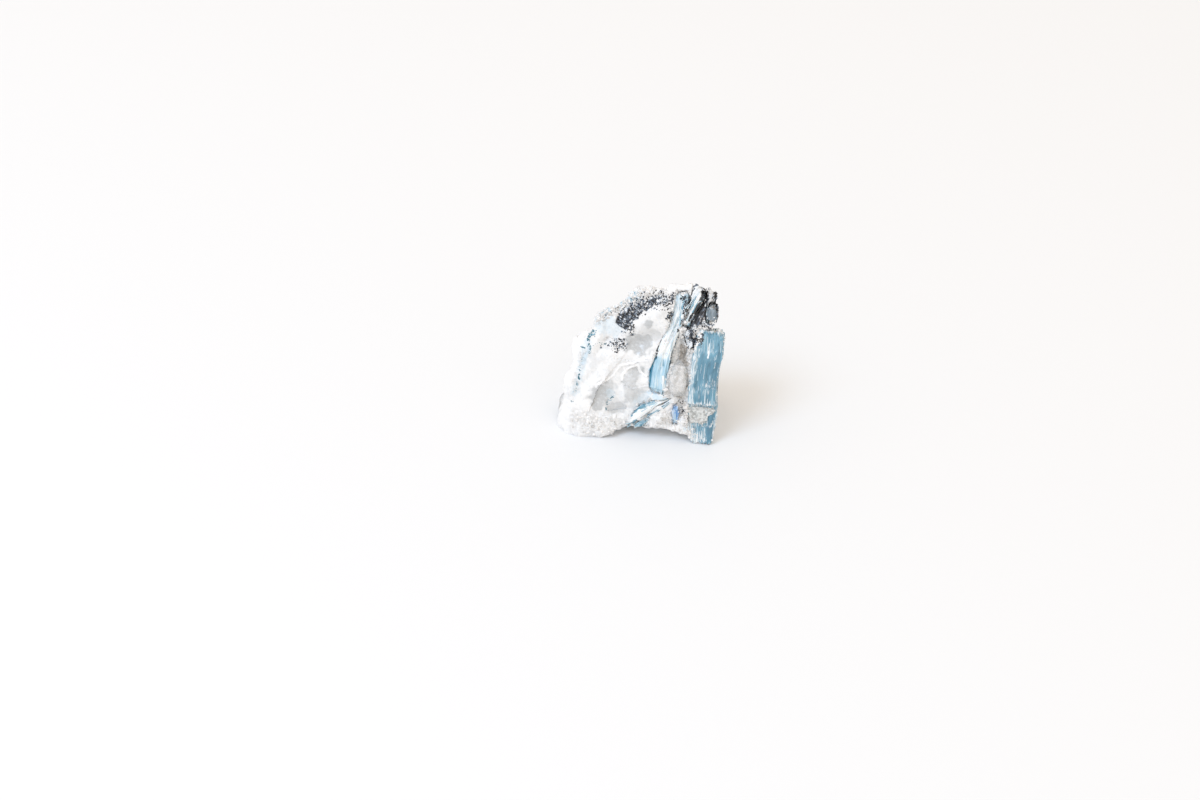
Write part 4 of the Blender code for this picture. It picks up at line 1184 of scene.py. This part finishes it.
rngGate = random.Random(3)
grainStrokes = (
    (((-5.2, 19.4), (-5.6, 13.0), (-5.0, 5.2)), 1.5, 170),
    (((-6.4, 13.0), (-6.9, 9.4)), 1.9, 90),
    (((-22.5, 1.8), (-15.5, 1.2)), 1.9, 80),
    (((-9.5, 3.0), (-5.0, 2.6)), 2.6, 90),
    (((-3.6, 20.9), (0.2, 20.9)), 0.8, 22),
    (((-20.4, 19.2), (-18.6, 21.6), (-14.0, 25.2), (-9.0, 26.2)), 0.9, 170),
    (((-4.6, 1.6), (-1.6, 0.5)), 0.9, 36),
    (((-12.6, 5.4), (-10.4, 6.8)), 0.8, 24),
    (((-4.4, 5.8), (-4.3, 3.0)), 0.3, 34),
)
coverGrainStrokes = (  # these sit on the blades and in the mica
    (((-3.6, 20.2), (0.6, 20.2)), 0.5, 28),
    (((-3.4, 27.2), (-2.0, 27.3), (-0.8, 26.6)), 0.7, 44),
    (((-2.9, 21.8), (-0.2, 21.6)), 0.7, 18),
    (((-3.9, 3.2), (-2.6, 1.4)), 0.7, 40),
    (((-7.6, 18.4), (-8.2, 16.2)), 1.0, 26),
    (((-17.5, 21.1), (-14.9, 23.3), (-11.1, 25.2), (-8.0, 25.6)), 0.45, 130),
    (((-7.6, 26.0), (-5.4, 26.2)), 0.35, 56),
    (((-3.0, 19.4), (-3.5, 17.4)), 0.35, 12),
    (((-5.2, 18.6), (-4.6, 16.4)), 0.5, 10),
    (((-1.6, 26.6), (-1.2, 25.0)), 0.4, 26),
    (((-9.0, 24.8), (-12.6, 23.4), (-15.6, 21.4)), 1.2, 46),
    (((-10.4, 8.4), (-8.4, 8.2)), 0.4, 14),
    (((-5.5, 7.6), (-5.4, 4.2)), 0.35, 44),
    (((-6.4, 3.2), (-5.7, 3.2)), 0.3, 22),
    (((-4.2, 6.2), (-4.1, 2.6)), 0.15, 34),
)
crustStrokes = ((((-3.8, 6.5), (0.3, 6.6)), 0.25, 20), (((-3.8, 4.3), (-1.0, 4.2)), 0.4, 40))
flakeStrokes = (
    (((-8.8, 24.4), (-12.6, 23.4), (-15.4, 21.4)), 1.7, 150),
    (((-15.2, 20.2), (-14.4, 18.4)), 0.7, 46),
    (((-8.0, 22.2), (-8.5, 21.2)), 0.5, 22),
    (((-18.2, 16.0), (-15.6, 16.5)), 0.8, 40),
    (((-17.2, 15.2), (-15.6, 15.6)), 0.5, 14),
    (((-5.2, 18.8), (-3.0, 17.6)), 0.8, 34),
    (((-5.4, 7.8), (-4.9, 5.0)), 0.5, 34),
    (((-7.8, 25.4), (-8.0, 24.7)), 0.4, 16),
    (((-19.4, 20.4), (-16.4, 22.9), (-13.2, 25.0), (-9.4, 26.0)), 0.5, 44),
)
coverFlakeStrokes = (
    (((-3.8, 17.0), (-3.6, 18.6)), 0.3, 24),
    (((-2.7, 17.2), (-2.4, 19.2)), 0.3, 26),
    (((-6.2, 25.3), (-5.6, 24.2), (-5.6, 22.6)), 0.6, 54),
    # painted shadow: dark flakes along the shadow line left of the top lath
    (((-5.7, 22.4), (-6.1, 21.2), (-6.9, 18.8)), 0.15, 22),
    (((-3.8, 20.7), (-0.6, 20.6)), 0.6, 70),
    (((-5.0, 20.2), (-3.2, 18.0)), 0.8, 60),
    (((-0.5, 25.7), (-0.2, 24.0), (-0.1, 20.8)), 0.3, 60),
    (((-7.9, 25.6), (-7.9, 24.8)), 0.4, 18),
    (((-10.0, 15.6), (-10.2, 14.4)), 0.15, 10),
)
chipStrokes = (
    (((-13.9, 2.3), (-11.2, 2.4)), 0.5, 22),
    (((-17.7, 6.4), (-18.0, 4.8)), 0.4, 5),
    (((-4.2, 1.2), (-1.6, 0.4)), 0.5, 16),
    (((-20.8, 18.0), (-21.6, 17.2)), 0.4, 12),
    (((-21.6, 16.0), (-22.8, 12.4), (-23.3, 8.7), (-24.1, 5.4)), 0.2, 10),
    (((-20.0, 20.0), (-18.6, 22.0), (-14.0, 25.0)), 0.7, 50),
)
leafStrokes = ((((-2.4, 26.4), (-3.6, 22.6), (-5.4, 19.4)), 1.6, 110), (((-2.0, 25.6), (-4.2, 20.6)), 0.9, 60), (((-0.8, 26.0), (-0.1, 21.6)), 0.7, 40))
edgeStrokes = ((((-9.9, 4.8), (-8.5, 5.8), (-7.5, 6.5), (-6.8, 7.4)), 0.22, 44),
               (((-13.9, 2.3), (-12.2, 3.2), (-10.9, 3.0)), 0.4, 26))
lathStrokes = ((((-1.4, 26.2), (-2.2, 23.2)), 0.5, 16), (((-3.9, 26.4), (-5.6, 22.2)), 0.4, 16), (((-4.8, 25.4), (-5.4, 23.8)), 0.6, 10))

looseGrains = scatter(
    "looseQuartzGrains", 11,
    lambda rng: list(strokeSpots(rng, front, grainStrokes, ("lump",)))
    + list(anySpots(rng, lump, 520, hiddenSide)) + list(rimSpots(rng, 1.6)),
    addGrain, (0.3, 0.85))
coverGrains = scatter(
    "fineQuartzGrains", 15,
    lambda rng: list(strokeSpots(rng, front, coverGrainStrokes, ("blades", "mica", "nuggets", "lump")))
    + list(anySpots(rng, mica["micaWedge"], 260, lambda place, normal: place.z > 22.6 and normal.z > 0.25)),
    addGrain, (0.2, 0.46), (0.3, 1.0))
crustGrains = scatter(
    "greyCrustGrains", 19, lambda rng: list(strokeSpots(rng, front, crustStrokes, ("blades", "nuggets"))),
    addGrain, (0.18, 0.36), (0.0, 0.35))
looseFlakes = scatter(
    "looseMicaFlakes", 12,
    lambda rng: list(strokeSpots(rng, front, flakeStrokes, ("lump", "mica")))
    + list(strokeSpots(rng, front, coverFlakeStrokes, ("lump", "mica", "blades")))
    + list(anySpots(rng, mica["micaBand"], 700, lambda place, normal: normal.z > -0.5))
    + list(anySpots(rng, mica["micaSeamBack"], 260, lambda place, normal: normal.dot(back["outward"]) > 0.3))
    + list(anySpots(rng, lump, 9000, marked("mica", 0.3))),
    addFlake, (0.16, 0.44))
wedgeLeaves = scatter(
    "micaLeaves", 16,
    lambda rng: list(strokeSpots(rng, front, leafStrokes, ("mica",), leafWay))
    + list(anySpots(rng, mica["micaWedge"], 150, lambda place, normal: normal.z > -0.5, leafWay)),
    addSplinter, (0.9, 3.2), (0.0, 0.62))
looseSplinters = scatter(
    "looseKyaniteSplinters", 13,
    lambda rng: list(strokeSpots(rng, front, chipStrokes, ("lump",)))
    + list(anySpots(rng, lump, 3000, marked("teal", 0.25))),
    addSplinter, (0.3, 0.9), (0.3, 1.0))
edgeSplinters = scatter(
    "slantedBladeSplinters", 20,
    lambda rng: list(strokeSpots(rng, front, edgeStrokes, ("lump", "blades"), slantWay)),
    addSplinter, (0.7, 1.7), (0.2, 0.95))
wedgeLaths = scatter(
    "paleKyaniteLaths", 17, lambda rng: list(strokeSpots(rng, front, lathStrokes, ("mica",), leafWay)),
    addSplinter, (1.4, 3.6), (0.0, 0.5))


def fibreSpots(rng):
    for name, settings in kyaniteBlades.items():
        acrossWay, alongWay, outWay = bladeWays(settings)
        area = sum(polygon.area for polygon in blades[name].data.polygons)
        yield from anySpots(rng, blades[name], round(area * 0.8),
                            lambda place, normal: normal.dot(outWay) > -0.2 and abs(normal.dot(alongWay)) < 0.5, alongWay)


bladeFibres = scatter("kyaniteFibres", 18, fibreSpots, addSplinter, (0.7, 2.6), (0.0, 0.62))
paintMarks(looseGrains, "earth")
paintMarks(coverGrains, "earth")
print("loose pieces scattered")

finishPiece(lump, milkyQuartz, ["quartz_matrix"], sharpAngle=24)
for name, piece in mica.items():
    finishPiece(piece, micaPieces[name]["finish"], [micaPieces[name]["node"]], sharpAngle=20)
for name, piece in blades.items():
    settings = kyaniteBlades[name]
    finishPiece(piece, settings["finish"], [settings["node"]], sharpAngle=24)
finishPiece(clearGrain, clearQuartz, ["quartz_grain_clear"])
finishPiece(crust, greyCrust, ["quartz_crust"])
finishPiece(looseGrains, quartzGrainFinish, sharpAngle=20)
finishPiece(coverGrains, quartzGrainFinish, sharpAngle=20)
finishPiece(crustGrains, quartzGrainFinish, sharpAngle=20)
finishPiece(looseFlakes, flakeMica, sharpAngle=20)
finishPiece(wedgeLeaves, flakeMica, sharpAngle=20)
finishPiece(looseSplinters, splinterKyanite, sharpAngle=20)
finishPiece(edgeSplinters, splinterKyanite, sharpAngle=20)
finishPiece(wedgeLaths, splinterKyanite, sharpAngle=20)
finishPiece(bladeFibres, splinterKyanite, sharpAngle=20)


# The floor, the lights and the camera

floorLook = {"colour": "#ebeef1", "size": 1.6, "roughness": 0.6}


def makeFloor():
    # plain matte white card
    mat = newMaterial("matteWhiteCard")
    place = addNode(mat, "TexCoord").outputs["Object"]
    fibre = addNode(mat, "TexNoise", {"Vector": place, "Scale": perMm(0.8), "Detail": 2.0}).outputs[0]
    relief = addNode(mat, "Bump", {"Height": fibre, "Strength": 0.05, "Distance": 0.05 * mm}).outputs[0]
    finishShader(mat, {"Base Color": toLinear(floorLook["colour"]), "Roughness": floorLook["roughness"],
                       "Normal": relief, "Specular IOR Level": 0.2})
    bm = bmesh.new()
    bmesh.ops.create_grid(bm, x_segments=1, y_segments=1, size=floorLook["size"] / 2)
    floor = newObject("floor", bm)
    floor.data.materials.append(mat)


lightSet = {
    # place in metres, size, power in watts, colour; each looks at the stone
    "coolWindow": {"place": (-0.50, -0.36, 0.80), "size": 0.46, "power": 3.9, "colour": "#c8e2ff"},
}
# the room is brighter on the window's side: strength away from it and towards it
roomLook = {"colour": "#fff4e8", "dim": 0.80, "bright": 1.12, "window": (-0.62, -0.52, 0.59)}


def makeLights():
    for name, settings in lightSet.items():
        lamp = bpy.data.lights.new(name, "AREA")
        lamp.size = settings["size"]
        lamp.energy = settings["power"]
        lamp.color = toLinear(settings["colour"])[:3]
        holder = bpy.data.objects.new(name, lamp)
        holder.location = settings["place"]
        holder.rotation_euler = (Vector((0, 0, 0.012)) - holder.location).to_track_quat("-Z", "Y").to_euler()
        bpy.context.scene.collection.objects.link(holder)
    world = bpy.data.worlds.new("softRoom")
    world.use_nodes = True
    world.node_tree.nodes["Background"].inputs["Color"].default_value = toLinear(roomLook["colour"])
    way = addNode(world, "TexCoord").outputs["Generated"]
    facing = addNode(world, "VectorMath", {0: way, 1: roomLook["window"]}, operation="DOT_PRODUCT").outputs["Value"]
    strength = addNode(world, "MapRange", {"Value": facing, "From Min": -1.0, "From Max": 1.0,
                                           "To Min": roomLook["dim"], "To Max": roomLook["bright"]}).outputs[0]
    world.node_tree.links.new(strength, world.node_tree.nodes["Background"].inputs["Strength"])
    bpy.context.scene.world = world
    bpy.context.scene.view_settings.view_transform = "Standard"


cameraSet = {"place": (-0.006985, -0.42682, 0.29104), "down": 34, "lens": 90, "sensor": 36}


def makeCamera():
    camera = bpy.data.cameras.new("photoCamera")
    camera.lens = cameraSet["lens"]
    camera.sensor_width = cameraSet["sensor"]
    camera.clip_start = 0.01
    camera.clip_end = 10
    holder = bpy.data.objects.new("photoCamera", camera)
    holder.location = cameraSet["place"]
    holder.rotation_euler = (math.radians(90 - cameraSet["down"]), 0, 0)
    bpy.context.scene.collection.objects.link(holder)
    bpy.context.scene.camera = holder


makeFloor()
makeLights()
makeCamera()
